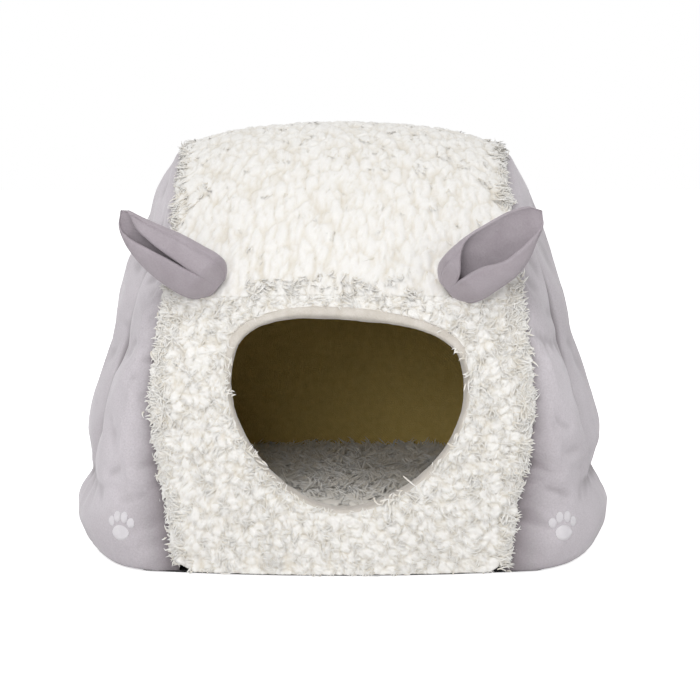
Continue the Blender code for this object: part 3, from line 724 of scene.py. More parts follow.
def soften_normals(piece, ring, outward, strands):
    """Turns the strands' normals towards the cloth's own, so that the pile shades as one mass."""
    own = ring / np.maximum(np.linalg.norm(ring, axis=-1, keepdims=True), 1e-9)
    ground = outward[:, None, None, None]
    turned = (ground + own * 0.45).reshape(len(outward) * strands, -1, 3)
    last = np.repeat(outward, strands, axis=0)[:, None] + 0.001
    normals = np.concatenate([turned, last], axis=1).reshape(-1, 3)
    normals /= np.linalg.norm(normals, axis=-1, keepdims=True)
    piece.data.normals_split_custom_set_from_vertices(normals.tolist())


def add_strand_map(piece, tips, tones):
    """A map on which every strand lies in one shared square: its tone across, its length up."""
    side = np.append(np.tile(np.arange(LOCK_SIDES), LOCK_RINGS), 1) * 0.012
    u = 0.02 + 0.92 * tones[:, None] + side[None]
    v = 0.02 + 0.92 * tips + side[None] * 0.5
    spots = np.stack([u, v], axis=-1).reshape(-1, 2)
    corners = np.zeros(len(piece.data.loops), dtype=np.int32)
    piece.data.loops.foreach_get("vertex_index", corners)
    layer = piece.data.uv_layers.new(name="OFBake")
    layer.uv.foreach_set("vector", spots[corners].astype(np.float32).ravel())


def surface_axes(place, a, b):
    """Points of place(a, b), with unit vectors across, along and out of the surface there."""
    small = 1e-4
    here = place(a, b)
    across = place(a + small, b) - place(a - small, b)
    along = place(a, b + small) - place(a, b - small)
    across /= np.linalg.norm(across, axis=-1, keepdims=True)
    along /= np.linalg.norm(along, axis=-1, keepdims=True)
    outward = np.cross(across, along)
    outward /= np.linalg.norm(outward, axis=-1, keepdims=True)
    inward = towards_core(here)
    outward *= -np.sign((outward * inward).sum(-1, keepdims=True))
    return here, across, along, outward


def jittered(random, low, high, spacing):
    """Random places spread evenly over a rectangle, as two arrays."""
    a = np.arange(low[0], high[0] + spacing, spacing)
    b = np.arange(low[1], high[1] + spacing, spacing)
    grid_a, grid_b = np.meshgrid(a, b)
    grid_a[1::2] += spacing / 2
    grid_a = grid_a.ravel() + random.uniform(-0.45, 0.45, grid_a.size) * spacing
    grid_b = grid_b.ravel() + random.uniform(-0.45, 0.45, grid_b.size) * spacing
    inside = (grid_a >= low[0]) & (grid_a <= high[0]) & (grid_b >= low[1]) & (grid_b <= high[1])
    return grid_a[inside], grid_b[inside]


# ---------------------------------------------------------------------------- front panel

FRONT_POINTS_ROUND = 760
FRONT_RINGS = 62
FRONT_LOCK_SPACING = 0.0056
ROOF_LOCK_SPACING = 0.0150
LOCK_LENGTH = 0.0078
LOCK_STRANDS = 4
PILE_LUMP = 0.0075
PILE_RELIEF = 0.0046
ROOF_STRETCH = 1.9
RUN_LENGTH = 0.3


def front_outline(count):
    """The front panel's edge in (x, height) pairs, evenly spread, once round."""
    z = np.linspace(FLOOR_LEVEL, BROW_HEIGHT, 60)
    half = band_half_width(z) - 0.016 * np.clip(1.0 - z / 0.016, 0, 1) ** 2
    bottom = np.linspace(-half[0], half[0], 60)
    top = np.linspace(half[-1], -half[-1], 60)
    x = np.concatenate([bottom[:-1], half[:-1], top[:-1], -half[::-1][:-1]])
    height = np.concatenate([np.full(59, z[0]), z[:-1], np.full(59, z[-1]), z[::-1][:-1]])
    loop = np.stack([x, height], axis=-1)
    step = np.linalg.norm(np.roll(loop, -1, axis=0) - loop, axis=-1)
    run = np.concatenate([[0.0], np.cumsum(step)])
    at = np.linspace(0.0, run[-1], count, endpoint=False)
    closed = np.concatenate([loop, loop[:1]])
    return np.interp(at, run, closed[:, 0]), np.interp(at, run, closed[:, 1])


def rim_share(angle):
    """1 over the top of the opening, where its rim stays free, and 0 where the pile covers it."""
    return ease((np.sin(angle) - 0.15) / 0.35)


def front_grid(covered, free):
    """Rings of places on the front panel, from round the opening out to the panel's edge."""
    x_out, z_out = front_outline(FRONT_POINTS_ROUND)
    angle = np.arctan2(z_out - OPENING_MIDDLE_HEIGHT, x_out - OPENING_MIDDLE_X)
    reach = opening_radius(angle, covered + (free - covered) * rim_share(angle))
    x_in = OPENING_MIDDLE_X + reach * np.cos(angle)
    z_in = OPENING_MIDDLE_HEIGHT + reach * np.sin(angle)
    share = np.linspace(0.0, 1.0, FRONT_RINGS)[:, None]
    return x_in + (x_out - x_in) * share, z_in + (z_out - z_in) * share


def pile_cloth(name, grid, a, b, height, stretch, edge, side, wrap=False):
    """The pile's ground: a cloth of dense curls that swells over the side seams, closed by its
    plain back. side runs from -1 to 1 across the band."""
    high = curl_relief(a, b, PILE_LUMP, stretch, 1.0)
    raised = sink(grid, -(0.0002 + height * high * edge))
    raised[..., 0] += np.sign(side) * ease((np.abs(side) - 0.93) / 0.07) * (0.0010 + 0.0045 * high)
    raised[..., 2] = np.maximum(raised[..., 2], PILE_FOOT)
    points, faces = backed_shell(raised, sink(grid, 0.003), 8, wrap)
    piece = make_piece(name, points, faces, CREAM_PILE)
    # painted shade: the cloth's low places take the root colour and its raised places go towards the tip
    # colour
    tips = np.concatenate([np.clip((high - 0.22) * 1.5, 0, 0.85).ravel(), np.zeros(len(points) - high.size)])
    add_tone(piece, tips, np.full(tips.size, 0.5))
    return piece


def plant(name, place, a, b, flat, stretch, flow, size, curl, strands, random, massed=1.0):
    """Locks on the surface place(a, b)."""
    here, across, along, outward = surface_axes(place, a, b)
    high = curl_relief(*flat, PILE_LUMP, stretch, 1.0)
    roots = here + outward * (PILE_RELIEF * high - 0.0012)[:, None]
    return add_locks(name, roots, (across, along, outward), flow, size, curl, strands, random, massed)


def add_front():
    x, z = front_grid(BINDING_WIDTH * 0.25, BINDING_WIDTH * 0.8)
    edge = np.clip(np.linspace(0.0, 1.0, FRONT_RINGS)[:, None] / 0.06, 0.2, 1.0)
    side = x / band_half_width(z)
    cloth = pile_cloth("front_sherpa_cloth", front_place(x, z), x, z, PILE_RELIEF, 1.0, edge, side, wrap=True)
    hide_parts("front_sherpa")
    random = np.random.default_rng(11)
    low, high = (-BAND_BELLY_WIDTH / 2, FLOOR_LEVEL + 0.003), (BAND_BELLY_WIDTH / 2, BROW_HEIGHT)
    x, z = jittered(random, low, high, FRONT_LOCK_SPACING)
    angle = np.arctan2(z - OPENING_MIDDLE_HEIGHT, x - OPENING_MIDDLE_X)
    far = np.hypot(z - OPENING_MIDDLE_HEIGHT, x - OPENING_MIDDLE_X)
    free = rim_share(angle)
    beyond = far - opening_radius(angle, BINDING_WIDTH * (0.25 + 0.65 * free))
    side_share = x / band_half_width(z)
    keep = (np.abs(side_share) < 0.995) & (beyond > 0.0)
    x, z, angle, beyond, side_share = (value[keep] for value in (x, z, angle, beyond, side_share))
    outwards = np.sign(side_share) * ease((np.abs(side_share) - 0.82) / 0.18) * 1.8
    over_rim = np.exp(-beyond / 0.006) * (0.9 - 1.6 * rim_share(angle))
    flow = random.normal(0.0, 0.8, (len(x), 2))
    flow[:, 0] += outwards - np.cos(angle) * over_rim
    flow[:, 1] += -0.25 - np.sin(angle) * over_rim
    locks = plant(
        "front_sherpa_locks", front_place, x, z, (x, z), 1.0, flow, LOCK_LENGTH, 0.9, LOCK_STRANDS, random)
    return [cloth, locks]


def fringe(name, place, a_edge, b, flat_a, flat_b, stretch, random):
    """Locks that hang over the band's side seams."""
    sides = np.sign(a_edge)
    flow = np.stack([sides * 1.6 + random.normal(0, 0.35, len(b)), random.normal(-0.2, 0.6, len(b))], axis=-1)
    flat = (flat_a, flat_b)
    return plant(name, place, a_edge, b, flat, stretch, flow, LOCK_LENGTH * 1.15, 0.55, 6, random, 0.5)


def brow_locks(random):
    """Curls that hang over the seam between the front and the roof."""
    side = random.uniform(-0.52, 0.44, 90)
    run = random.uniform(0.0, 0.035, side.size)
    flow = np.stack([random.normal(0, 0.7, side.size), np.full(side.size, -1.0)], axis=-1)
    flat = (side * BAND_WIDTH / 2, RUN_LENGTH * run)
    size = LOCK_LENGTH * 1.1
    return plant("brow_locks", roof_place, side, run, flat, ROOF_STRETCH, flow, size, 0.6, 5, random, 0.4)


def add_fringes():
    random = np.random.default_rng(17)
    z = random.uniform(0.012, BROW_HEIGHT, 560)
    x = random.choice([-1.0, 1.0], z.size) * band_half_width(z) * random.uniform(0.965, 1.0, z.size)
    front = fringe("front_fringe_locks", front_place, x, z, x, z, 1.0, random)
    run = random.uniform(0.0, 1.95, 900)
    side = random.choice([-1.0, 1.0], run.size) * random.uniform(0.965, 1.0, run.size)
    flat = (side * BAND_WIDTH / 2, RUN_LENGTH * run)
    brow = brow_locks(random)
    roof = fringe("roof_fringe_locks", roof_place, side, run, *flat, ROOF_STRETCH, random)
    return [front, brow, roof]


def add_roof_and_back():
    run = np.concatenate([np.linspace(0.0, 1.0, 215), np.linspace(1.0, 2.0, 110)[1:]])
    across, run = np.meshgrid(np.linspace(-1.0, 1.0, 200), run)
    edge = np.clip((1.0 - np.abs(across)) / 0.03, 0.7, 1.0)
    spots = (across * BAND_WIDTH / 2, RUN_LENGTH * run)
    ground = roof_place(across, run)
    cloth = pile_cloth(
        "roof_and_back_sherpa_cloth", ground, *spots, PILE_RELIEF, ROOF_STRETCH, edge, across)
    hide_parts("roof_and_back_sherpa")
    pieces = [cloth]
    random = np.random.default_rng(12)
    half = BAND_WIDTH / 2
    for name, start, length, size in (
        ("roof_sherpa_locks", 0.0, RUN_LENGTH, LOCK_LENGTH),
        ("back_sherpa_locks", 1.0, RUN_LENGTH, LOCK_LENGTH * 1.2),
    ):
        x, along_run = jittered(random, (-half, 0.001), (half, length - 0.002), ROOF_LOCK_SPACING)
        outwards = x / half * 0.35 + np.sign(x) * ease((np.abs(x) / half - 0.82) / 0.18) * 1.3
        lean = -1.0 if start == 0.0 else 1.0
        flow = np.stack([outwards + random.normal(0, 0.3, len(x)), np.full(len(x), lean)], axis=-1)
        spots = (x / half * 0.995, start + along_run / length)
        flat = (x, RUN_LENGTH * spots[1])
        pieces.append(plant(
            name, roof_place, *spots, flat, ROOF_STRETCH, flow, size, 0.0, LOCK_STRANDS, random, 0.35))
    return pieces


# ---------------------------------------------------------------------------- velvet sides

GORE_COLUMNS = 170
GORE_LOW_ROWS = 30
GORE_HIGH_ROWS = 104
FRONT_FOLD = 0.34
REAR_FOLD = 0.68


def gore_puff(u, v):
    """How far the filled velvet stands out of the plain surface."""
    wide = np.clip(np.sin(math.pi * u), 0.0, None) ** 0.62
    fold = FRONT_FOLD + 0.05 * np.clip(v, 0, 1)
    middle = (u - fold) / (REAR_FOLD - fold)
    local = np.where(u < fold, u / fold, np.where(u < REAR_FOLD, middle, (u - REAR_FOLD) / (1 - REAR_FOLD)))
    pillow = np.clip(np.sin(math.pi * np.clip(local, 0, 1)), 0.0, None) ** 0.45
    fades = ease((u - 0.16) / 0.20)
    waist = (WAIST_PUFF * fades + SIDE_PUFF * 0.85 * (1 - fades)) * wide
    z = FLOOR_LEVEL + (WAIST_HEIGHT - FLOOR_LEVEL) * (np.clip(v, -1, 0) + 1)
    belly = (z - FLOOR_LEVEL) / (BOLSTER_BELLY_HEIGHT - FLOOR_LEVEL)
    under = BOLSTER_PUFF * wide * (0.22 + 0.78 * np.sin(math.pi / 2 * np.clip(belly, 0, 1)) ** 0.5)
    fall = np.clip((z - BOLSTER_BELLY_HEIGHT) / (WAIST_HEIGHT - BOLSTER_BELLY_HEIGHT), 0, 1)
    over = BOLSTER_PUFF * wide + (waist - BOLSTER_PUFF * wide) * fall**2.2
    low = np.where(z < BOLSTER_BELLY_HEIGHT, under, over)
    rise = np.clip(v, 0, 1)
    full = SIDE_PUFF * wide * (0.02 + 1.12 * pillow) * (1 - rise**2.5)
    swell = 1 - (1 - np.clip(rise / 0.14, 0, 1)) ** 2
    return np.where(v <= 0, low, waist * (1 - swell) + full * swell)


def seam_gathers(plain, u, v, seed):
    """Puckers that run out from the band's seams and from the waist, and fade with distance."""
    wobble = soft_noise(plain, 0.040, seed)
    up = plain[..., 2] + 0.35 * plain[..., 0]
    still = np.zeros(up.shape)
    ribs = soft_noise(np.stack([up + 0.010 * wobble, plain[..., 1] * 0.15, still], -1), 0.017, seed + 1)
    folds = 0.6 - 2.2 * np.abs(ribs) ** 0.8
    strength = 0.5 + 0.5 * soft_noise(plain, 0.045, seed + 3)
    near_seam = np.exp(-np.minimum(u, 1 - u) / 0.10)
    sideways = plain[..., 1] + plain[..., 0] + 0.006 * wobble
    back_and_forth = np.stack([sideways, plain[..., 2] * 0.2, still], -1)
    upright = soft_noise(back_and_forth, 0.014, seed + 2)
    near_waist = np.exp(-np.abs(v) / 0.13) * ease((u - 0.25) / 0.2)
    near_roof = np.exp(-(1 - np.clip(v, 0, 1)) / 0.13)
    broad = soft_noise(plain, 0.055, seed + 4)
    taper = np.clip(np.minimum(u, 1 - u) / 0.02, 0, 1)
    puckers = 0.0085 * folds * strength * near_seam * taper
    return puckers + 0.0034 * upright * (near_waist + near_roof) + 0.0022 * broad


def settle_cloth(piece, held, swell, frames, cap):
    """Inflates a cloth whose held points stay, a little oversize, and keeps the final shape."""
    scene = bpy.context.scene
    group = piece.vertex_groups.new(name="sewn")
    group.add(np.flatnonzero(held.ravel()).tolist(), 1.0, "REPLACE")
    start = np.array([vertex.co for vertex in piece.data.vertices])
    modifier = piece.modifiers.new("cloth", "CLOTH")
    cloth = modifier.settings
    cloth.quality = 5
    cloth.mass = 0.15
    cloth.tension_stiffness = cloth.compression_stiffness = 12.0
    cloth.shear_stiffness = 6.0
    cloth.bending_stiffness = 2.5
    cloth.air_damping = 3.0
    cloth.tension_damping = cloth.compression_damping = 8.0
    cloth.vertex_group_mass = "sewn"
    cloth.pin_stiffness = 2.0
    cloth.shrink_min = -swell
    cloth.use_pressure = True
    cloth.uniform_pressure_force = 2.5
    cloth.effector_weights.gravity = 0.0
    modifier.point_cache.frame_start = 1
    modifier.point_cache.frame_end = frames
    for step in range(1, frames + 1):
        scene.frame_set(step)
    view = bpy.context.evaluated_depsgraph_get()
    settled = piece.evaluated_get(view).to_mesh()
    end = np.array([vertex.co for vertex in settled.vertices])
    piece.evaluated_get(view).to_mesh_clear()
    piece.modifiers.remove(modifier)
    piece.vertex_groups.remove(group)
    scene.frame_set(1)
    move = end - start
    size = np.maximum(np.linalg.norm(move, axis=-1, keepdims=True), 1e-9)
    end = eased_grid(start + move * np.minimum(1.0, cap / size), held.shape, 6)
    piece.data.vertices.foreach_set("co", end.astype(np.float32).ravel())
    piece.data.update()


def eased_grid(points, shape, times):
    """The grid of points with its small creases smoothed, and its border left as it is."""
    grid = points.reshape(*shape, 3)
    for _ in range(times):
        beside = grid[:-2, 1:-1] + grid[2:, 1:-1] + grid[1:-1, :-2] + grid[1:-1, 2:]
        grid[1:-1, 1:-1] = 0.5 * grid[1:-1, 1:-1] + 0.125 * beside
    return grid.reshape(-1, 3)


def side_held(u):
    """Which points of a side cover are sewn down: 1 on the seams and the waist, 0 elsewhere."""
    held = np.zeros(u.shape)
    held[:2], held[-2:], held[:, :2], held[:, -2:] = 1.0, 1.0, 1.0, 1.0
    held[GORE_LOW_ROWS, 14:-14] = 1.0
    return held


def add_side(side):
    """One filled velvet side, from the floor to the roof seam, as a single gathered cloth."""
    turn = mirrored if side == "left" else (lambda points: points)
    seed = 3.0 if side == "left" else 7.0
    u = np.linspace(0.0, 1.0, GORE_COLUMNS)[None]
    low_rows, high_rows = np.linspace(-1, 0, GORE_LOW_ROWS + 1), np.linspace(0, 1, GORE_HIGH_ROWS + 1)
    v = np.concatenate([low_rows, high_rows[1:]])[:, None]
    u, v = np.broadcast_arrays(u, v)
    plain = gore_place(u, v)
    puff = gore_puff(u, v)
    outer = sink(plain, -(puff + seam_gathers(plain, u, v, seed)))
    faces = grid_quads(*u.shape)
    points = turn(outer).reshape(-1, 3)
    if side == "left":
        faces = faces[:, ::-1]
    cover = make_piece(f"{side}_side_cover", points, faces[:, ::-1], GREY_VELVET)
    settle_cloth(cover, side_held(u), 0.018, 14, 0.007)
    # painted shade, strongest in the fold valleys and along the band's seams, kept for the velvet's colour
    shade = fold_shade(cover, u, v)
    close_cover(cover, turn(sink(plain, 0.0025)), u.shape)
    layer = cover.data.attributes.new("fold_shade", "FLOAT", "POINT")
    layer.data.foreach_set("value", np.tile(shade.ravel(), 2).astype(np.float32))
    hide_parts(*[f"{side}_{name}" for name in (
        "side_velvet", "front_filling", "middle_filling", "rear_filling", "bolster_filling")])
    return cover


def fold_shade(cover, u, v):
    """Painted shade on the velvet: most in the valleys between folds and along the band's seams."""
    points = np.array([vertex.co for vertex in cover.data.vertices])
    broad = eased_grid(points.copy(), u.shape, 60).reshape(*u.shape, 3)
    grid = points.reshape(*u.shape, 3)
    outward = -towards_core(grid)
    sunk = ((broad - grid) * outward).sum(-1) / 0.0016
    seam = 1.05 * np.exp(-np.minimum(u, 1 - u) / 0.065) + 0.25 * np.exp(-(1 - np.clip(v, 0, 1)) / 0.05)
    return np.clip(0.55 * np.clip(sunk, 0, 1.4) + seam - 0.04, 0.0, 0.85)


def close_cover(cover, back, shape):
    """Adds the flat back of a filled cover, so that it is one closed body with its filling."""
    front = np.array([vertex.co for vertex in cover.data.vertices])
    points = np.concatenate([front, back.reshape(-1, 3)])
    faces = facing_out(points, shell_quads(*shape))
    old = cover.data
    closed = make_piece(cover.name + "_closed", points, faces, GREY_VELVET)
    cover.data = closed.data
    bpy.data.objects.remove(closed)
    bpy.data.meshes.remove(old)
    cover.data.name = cover.name


# ------------------------------------------------------------------------------ embroidery

PAW_PADS = (
    # across, up, half width, half height: the sole, then four toes, in metres
    (0.0, -0.004, 0.0080, 0.0062), (-0.0098, 0.0046, 0.0032, 0.0042), (-0.0036, 0.0088, 0.0032, 0.0046),
    (0.0036, 0.0088, 0.0032, 0.0046), (0.0098, 0.0046, 0.0032, 0.0042))
PAW_X = 0.180
PAW_HEIGHT = 0.036
THREAD_PITCH = 0.0007
THREAD_RADIUS = 0.00042
THREAD_SIDES = 6


def thread_ends():
    """Both ends of every satin stitch of the paw, in its own flat places."""
    ends = []
    for across, up, half_width, half_height in PAW_PADS:
        for step in np.arange(-half_width + THREAD_PITCH / 2, half_width, THREAD_PITCH):
            reach = half_height * math.sqrt(1.0 - (step / half_width) ** 2)
            ends.append((across + step, up - reach, up + reach))
    return ends


def add_paw(side, cover):
    """A small paw in raised satin stitch, tone on tone, low on the front of a side cover."""
    turn = -1.0 if side == "left" else 1.0
    tree = bvhtree.BVHTree.FromObject(cover, bpy.context.evaluated_depsgraph_get())
    in_front = Vector((turn * PAW_X, -BODY_DEPTH, PAW_HEIGHT))
    middle, normal, _, _ = tree.ray_cast(in_front, Vector((0.0, 1.0, 0.0)))
    across = Vector((0.0, 0.0, 1.0)).cross(normal).normalized()
    up = normal.cross(across).normalized()
    share = np.linspace(0.0, 1.0, 7)
    spin = np.linspace(0.0, 2 * math.pi, THREAD_SIDES, endpoint=False)
    points, faces = [], []
    for step, low, high in thread_ends():
        rings = []
        for t in share:
            spot = middle + across * step + up * (low + (high - low) * t) + normal * 0.012
            hit, face_normal, _, _ = tree.ray_cast(spot, -normal)
            if hit is None:
                hit, face_normal = spot - normal * 0.012, normal
            raised = hit + face_normal * (THREAD_RADIUS * (1.6 * math.sin(math.pi * t) ** 0.5 - 0.3))
            wide = face_normal.cross(up).normalized()
            rings.append([
                raised + (wide * math.cos(a) + face_normal * math.sin(a)) * THREAD_RADIUS for a in spin])
        tube_points, tube_faces = capped(np.array(rings))
        faces.append(tube_faces + len(points))
        points.extend(tube_points)
    piece = make_piece(f"{side}_paw_stitches", points, np.concatenate(faces), GREY_THREAD)
    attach(piece, "bed")


# --------------------------------------------------------------- binding, lining and floor


def add_binding():
    """A plump plush tube that wraps the wall's edge all round the opening."""
    angle = np.linspace(0.0, 2 * math.pi, 300, endpoint=False)[:, None]
    turn = np.linspace(0.0, 2 * math.pi, 28, endpoint=False)[None]
    across = BINDING_WIDTH / 2
    square = 2.0 / 3.0
    angle, turn = np.broadcast_arrays(angle, turn)
    proud = 0.0008 + 0.0048 * rim_share(angle)
    middle_depth, deep = (WALL_DEPTH + 0.003 - proud) / 2, (WALL_DEPTH + 0.003 + proud) / 2
    grow = across + across * 1.05 * np.sign(np.cos(turn)) * np.abs(np.cos(turn)) ** square
    depth = middle_depth + deep * np.sign(np.sin(turn)) * np.abs(np.sin(turn)) ** square
    points = sink(opening_place(angle, grow), depth)
    ripple = soft_noise(points, 0.012, 5.0) * 0.0009 + soft_noise(points, 0.004, 6.0) * 0.0003
    centre = sink(opening_place(angle, across), middle_depth)
    away = points - centre
    points += away / np.linalg.norm(away, axis=-1, keepdims=True) * ripple[..., None]
    rows, columns = points.shape[:2]
    faces = grid_quads(rows + 1, columns, wrap=True) % (rows * columns)
    piece = make_piece("opening_binding_plush", points, facing_out(points, faces), BINDING_PLUSH)
    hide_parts("opening_binding")
    return piece


def add_linings():
    u = np.linspace(0.0, 1.0, 70)[None]
    v = np.concatenate([np.linspace(-1, 0, 12), np.linspace(0, 1, 40)[1:]])[:, None]
    right = gore_place(*np.broadcast_arrays(u, v))
    depth = WALL_DEPTH + 0.0015
    pieces = []
    for side, turn in (("left", mirrored), ("right", lambda points: points)):
        slack = soft_noise(turn(right), 0.05, 8.0) * 0.0012
        outer, inner = sink(right, depth + slack), sink(right, depth + LINING + slack)
        piece = shell(f"{side}_side_lining_cloth", turn(outer), turn(inner), MUSTARD_LINING)
        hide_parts(f"{side}_side_lining", f"{side}_side_foam")
        pieces.append(piece)
    share = np.linspace(-1.0, 1.0, 50)[None]
    run = np.concatenate([np.linspace(0, 1, 40), np.linspace(1, 2, 36)[1:]])[:, None]
    plain = roof_place(*np.broadcast_arrays(share, run))
    slack = soft_noise(plain, 0.05, 9.0) * 0.0012
    outer, inner = sink(plain, depth + slack), sink(plain, depth + LINING + slack)
    roof = shell("roof_and_back_lining_cloth", outer, inner, MUSTARD_LINING)
    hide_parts("roof_and_back_lining", "roof_foam", "back_foam")
    rings = front_grid(BINDING_WIDTH * 0.6, BINDING_WIDTH * 0.6)
    plain = front_place(*(value[::4, ::4] for value in rings))
    outer, inner = sink(plain, depth), sink(plain, depth + LINING)
    front = shell("front_lining_cloth", outer, inner, MUSTARD_LINING, wrap=True)
    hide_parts("front_lining", "front_foam")
    return pieces + [roof, front]


# ------------------------------------------------------------------------------------ ears

EAR_LENGTH = 0.100
EAR_ROOT_HEIGHT = 0.228
EAR_STANDOFF = 0.0045
EAR_RISE_ANGLE = 40.0
EAR_TURN_ANGLE = 4.0
EAR_WALL = 0.0040
EAR_SEAM_TURNS = (122.0, 109.0)
EAR_STEPS = (0.0, 0.12, 0.30, 0.50, 0.66, 0.82, 0.93, 1.0)
EARS = {
    "left": {
        "x": -0.102, "outward": -1.0,
        "half_width": (0.0165, 0.0215, 0.0222, 0.0205, 0.0172, 0.0126, 0.0080, 0.0030),
        "bow": (0.002, 0.002, -0.001, -0.0035, -0.005, -0.005, -0.003, 0.0),
        "upper_wrap": (178.0, 175.0, 171.0, 168.0, 162.0, 148.0, 112.0, 85.0),
        "lower_wrap": (178.0, 175.0, 172.0, 166.0, 155.0, 128.0, 96.0, 85.0),
        "depth": (0.0070, 0.0085, 0.0090, 0.0085, 0.0075, 0.0055, 0.0035, 0.001),
    },
    "right": {
        "x": 0.086, "outward": 1.0,
        "half_width": (0.0170, 0.0228, 0.0252, 0.0250, 0.0222, 0.0160, 0.0102, 0.0035),
        "bow": (-0.001, -0.0005, -0.001, -0.0025, -0.002, 0.0, 0.0, 0.0),
        "upper_wrap": (176.0, 164.0, 112.0, 76.0, 70.0, 70.0, 74.0, 78.0),
        "lower_wrap": (178.0, 177.0, 172.0, 154.0, 146.0, 124.0, 94.0, 82.0),
        "depth": (0.0080, 0.0100, 0.0110, 0.0100, 0.0085, 0.0060, 0.0040, 0.001),
    },
}


def ear_place(ear):
    """The ear's own frame: X across it, Z along it from its root, and -Y to the front."""
    surface = front_place(np.array(ear["x"]), np.array(BROW_HEIGHT))
    stand = sink(surface, -PILE - EAR_STANDOFF)
    lean = Matrix.Rotation(math.radians(ear["outward"] * (90.0 - EAR_RISE_ANGLE)), 4, "Y")
    turn = Matrix.Rotation(math.radians(ear["outward"] * EAR_TURN_ANGLE), 4, "Z")
    return Matrix.Translation((stand[0], stand[1], EAR_ROOT_HEIGHT)) @ turn @ lean


def smooth_curve(steps, values, at):
    """Values between the steps of a short profile, along a smooth curve through them."""
    slopes = np.gradient(np.array(values), np.array(steps))
    k = np.clip(np.searchsorted(steps, at, side="right") - 1, 0, len(steps) - 2)
    low, high = np.array(steps)[k], np.array(steps)[k + 1]
    t = (at - low) / (high - low)
    a, b = np.array(values)[k], np.array(values)[k + 1]
    m, n = slopes[k] * (high - low), slopes[k + 1] * (high - low)
    start = a * (1 + 2 * t) * (1 - t) ** 2 + m * t * (1 - t) ** 2
    return start + b * t * t * (3 - 2 * t) - n * t * t * (1 - t)


EAR_ROWS = 100
EAR_FACE_COLUMNS = 110
EAR_EDGE_COLUMNS = 8


def ear_points(ear, seed):
    """A padded leaf whose two sides fold forwards, as rings round its wall from root to tip."""
    t = 1.0 - (1.0 - np.linspace(0.0, 1.0, EAR_ROWS)) ** 1.15
    half, bow, depth, upper, lower = (
        smooth_curve(EAR_STEPS, ear[key], t)[:, None]
        for key in ("half_width", "bow", "depth", "upper_wrap", "lower_wrap"))
    blunt_tip = np.minimum(1.0, np.sqrt(np.clip(1.0 - t, 0, 1) / 0.05 + 0.002))
    round_root = np.sqrt(np.clip(1.0 - (1.0 - np.clip(t / 0.10, 0, 1)) ** 2 * 0.75, 0, 1))
    half = np.maximum(half * (blunt_tip * round_root)[:, None], 0.0008)
    face = np.linspace(-1.0, 1.0, EAR_FACE_COLUMNS)
    edge = np.linspace(0.0, math.pi, EAR_EDGE_COLUMNS + 2)[1:-1]
    share = np.concatenate([face, np.ones(EAR_EDGE_COLUMNS), face[::-1], -np.ones(EAR_EDGE_COLUMNS)])
    out = np.concatenate([np.ones(EAR_FACE_COLUMNS), np.cos(edge), -np.ones(EAR_FACE_COLUMNS), -np.cos(edge)])
    level = np.zeros(EAR_FACE_COLUMNS)
    beyond = np.concatenate([level, np.sin(edge), level, np.sin(edge)])
    turn = np.radians(np.where(share > 0, upper, lower)) * share
    wall = EAR_WALL / 2 * np.clip(half / 0.012, 0.25, 1.0) * (1 + 0.35 * np.cos(turn * 2))
    inner_half = np.maximum(half - wall, half * 0.3)
    x, y = np.sin(turn), np.cos(turn)
    plump = 1.0 + 0.05 * np.sin(turn * 2.0)
    centre_x, centre_y = inner_half * x * plump, depth * y
    normal_x, normal_y = depth * x, inner_half * y
    size = np.maximum(np.hypot(normal_x, normal_y), 1e-9)
    normal_x, normal_y = normal_x / size, normal_y / size
    along_x, along_y = normal_y * np.sign(turn), -normal_x * np.sign(turn)
    seam_turn = np.where(share > 0, *EAR_SEAM_TURNS)
    seam = np.exp(-((np.abs(np.degrees(turn)) - seam_turn) / 4.0) ** 2) * (out > 0.9)
    lift = wall * out - 0.0013 * seam
    reach = wall * beyond
    px = centre_x + normal_x * lift + along_x * reach
    py = centre_y + normal_y * lift + along_y * reach
    up = -ear["outward"]
    pz = 0.001 + EAR_LENGTH * 0.985 * t[:, None] + 0 * px
    root = ease((0.17 - t) / 0.17)[:, None]
    points = np.stack([up * (px + bow), py + root * 0.012, pz - root * 0.002], axis=-1)
    crumple = soft_noise(points, 0.020, seed) * 0.0011 + soft_noise(points, 0.009, seed + 1) * 0.0004
    points[..., 1] += crumple * np.clip(t * 4, 0, 1)[:, None]
    return points


def add_ear(side):
    ear = EARS[side]
    points, faces = capped(ear_points(ear, 21.0 if side == "left" else 23.0))
    piece = make_piece(f"{side}_ear_plush", points, faces, EAR_VELVET)
    piece.matrix_world = ear_place(ear)
    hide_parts(f"{side}_ear_front", f"{side}_ear_filling", f"{side}_ear_back")
    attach(piece, f"{side}_ear")
    return piece


# --------------------------------------------------------------------------------- cushion

CUSHION_ANGLES = 240
CUSHION_CORNER = 3.3
CUSHION_PLUMPNESS = 0.006


def cushion_outline():
    """Reach of the cushion's rounded edge in every direction, with its middle and two levels."""
    low, high = (np.array(corner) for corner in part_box("cushion_top_cover"))
    middle, half = (low + high) / 2, (high - low) / 2 - 0.003
    at = np.linspace(-math.pi, math.pi, CUSHION_ANGLES, endpoint=False)
    power = np.abs(np.cos(at) / half[0]) ** CUSHION_CORNER + np.abs(np.sin(at) / half[1]) ** CUSHION_CORNER
    return at, power ** (-1.0 / CUSHION_CORNER), middle, low[2], high[2] + CUSHION_PLUMPNESS


def cushion_place(shape, angle, inset):
    """The cushion's upper surface. inset is 0 at its edge and 1 in the middle."""
    at, reach, middle, low, high = shape
    edge = np.interp(angle, at, reach, period=2 * math.pi)
    far = edge * (1 - inset)
    rim = np.clip(inset / 0.11, 0, 1)
    rise = 0.42 + 0.44 * np.sqrt(1 - (1 - rim) ** 2) + 0.14 * ease(inset / 0.7)
    height = low + (high - CUSHION_PLUMPNESS - low) * rise
    x, y = middle[0] + far * np.cos(angle), middle[1] + far * np.sin(angle)
    return np.stack(np.broadcast_arrays(x, y, height), axis=-1)


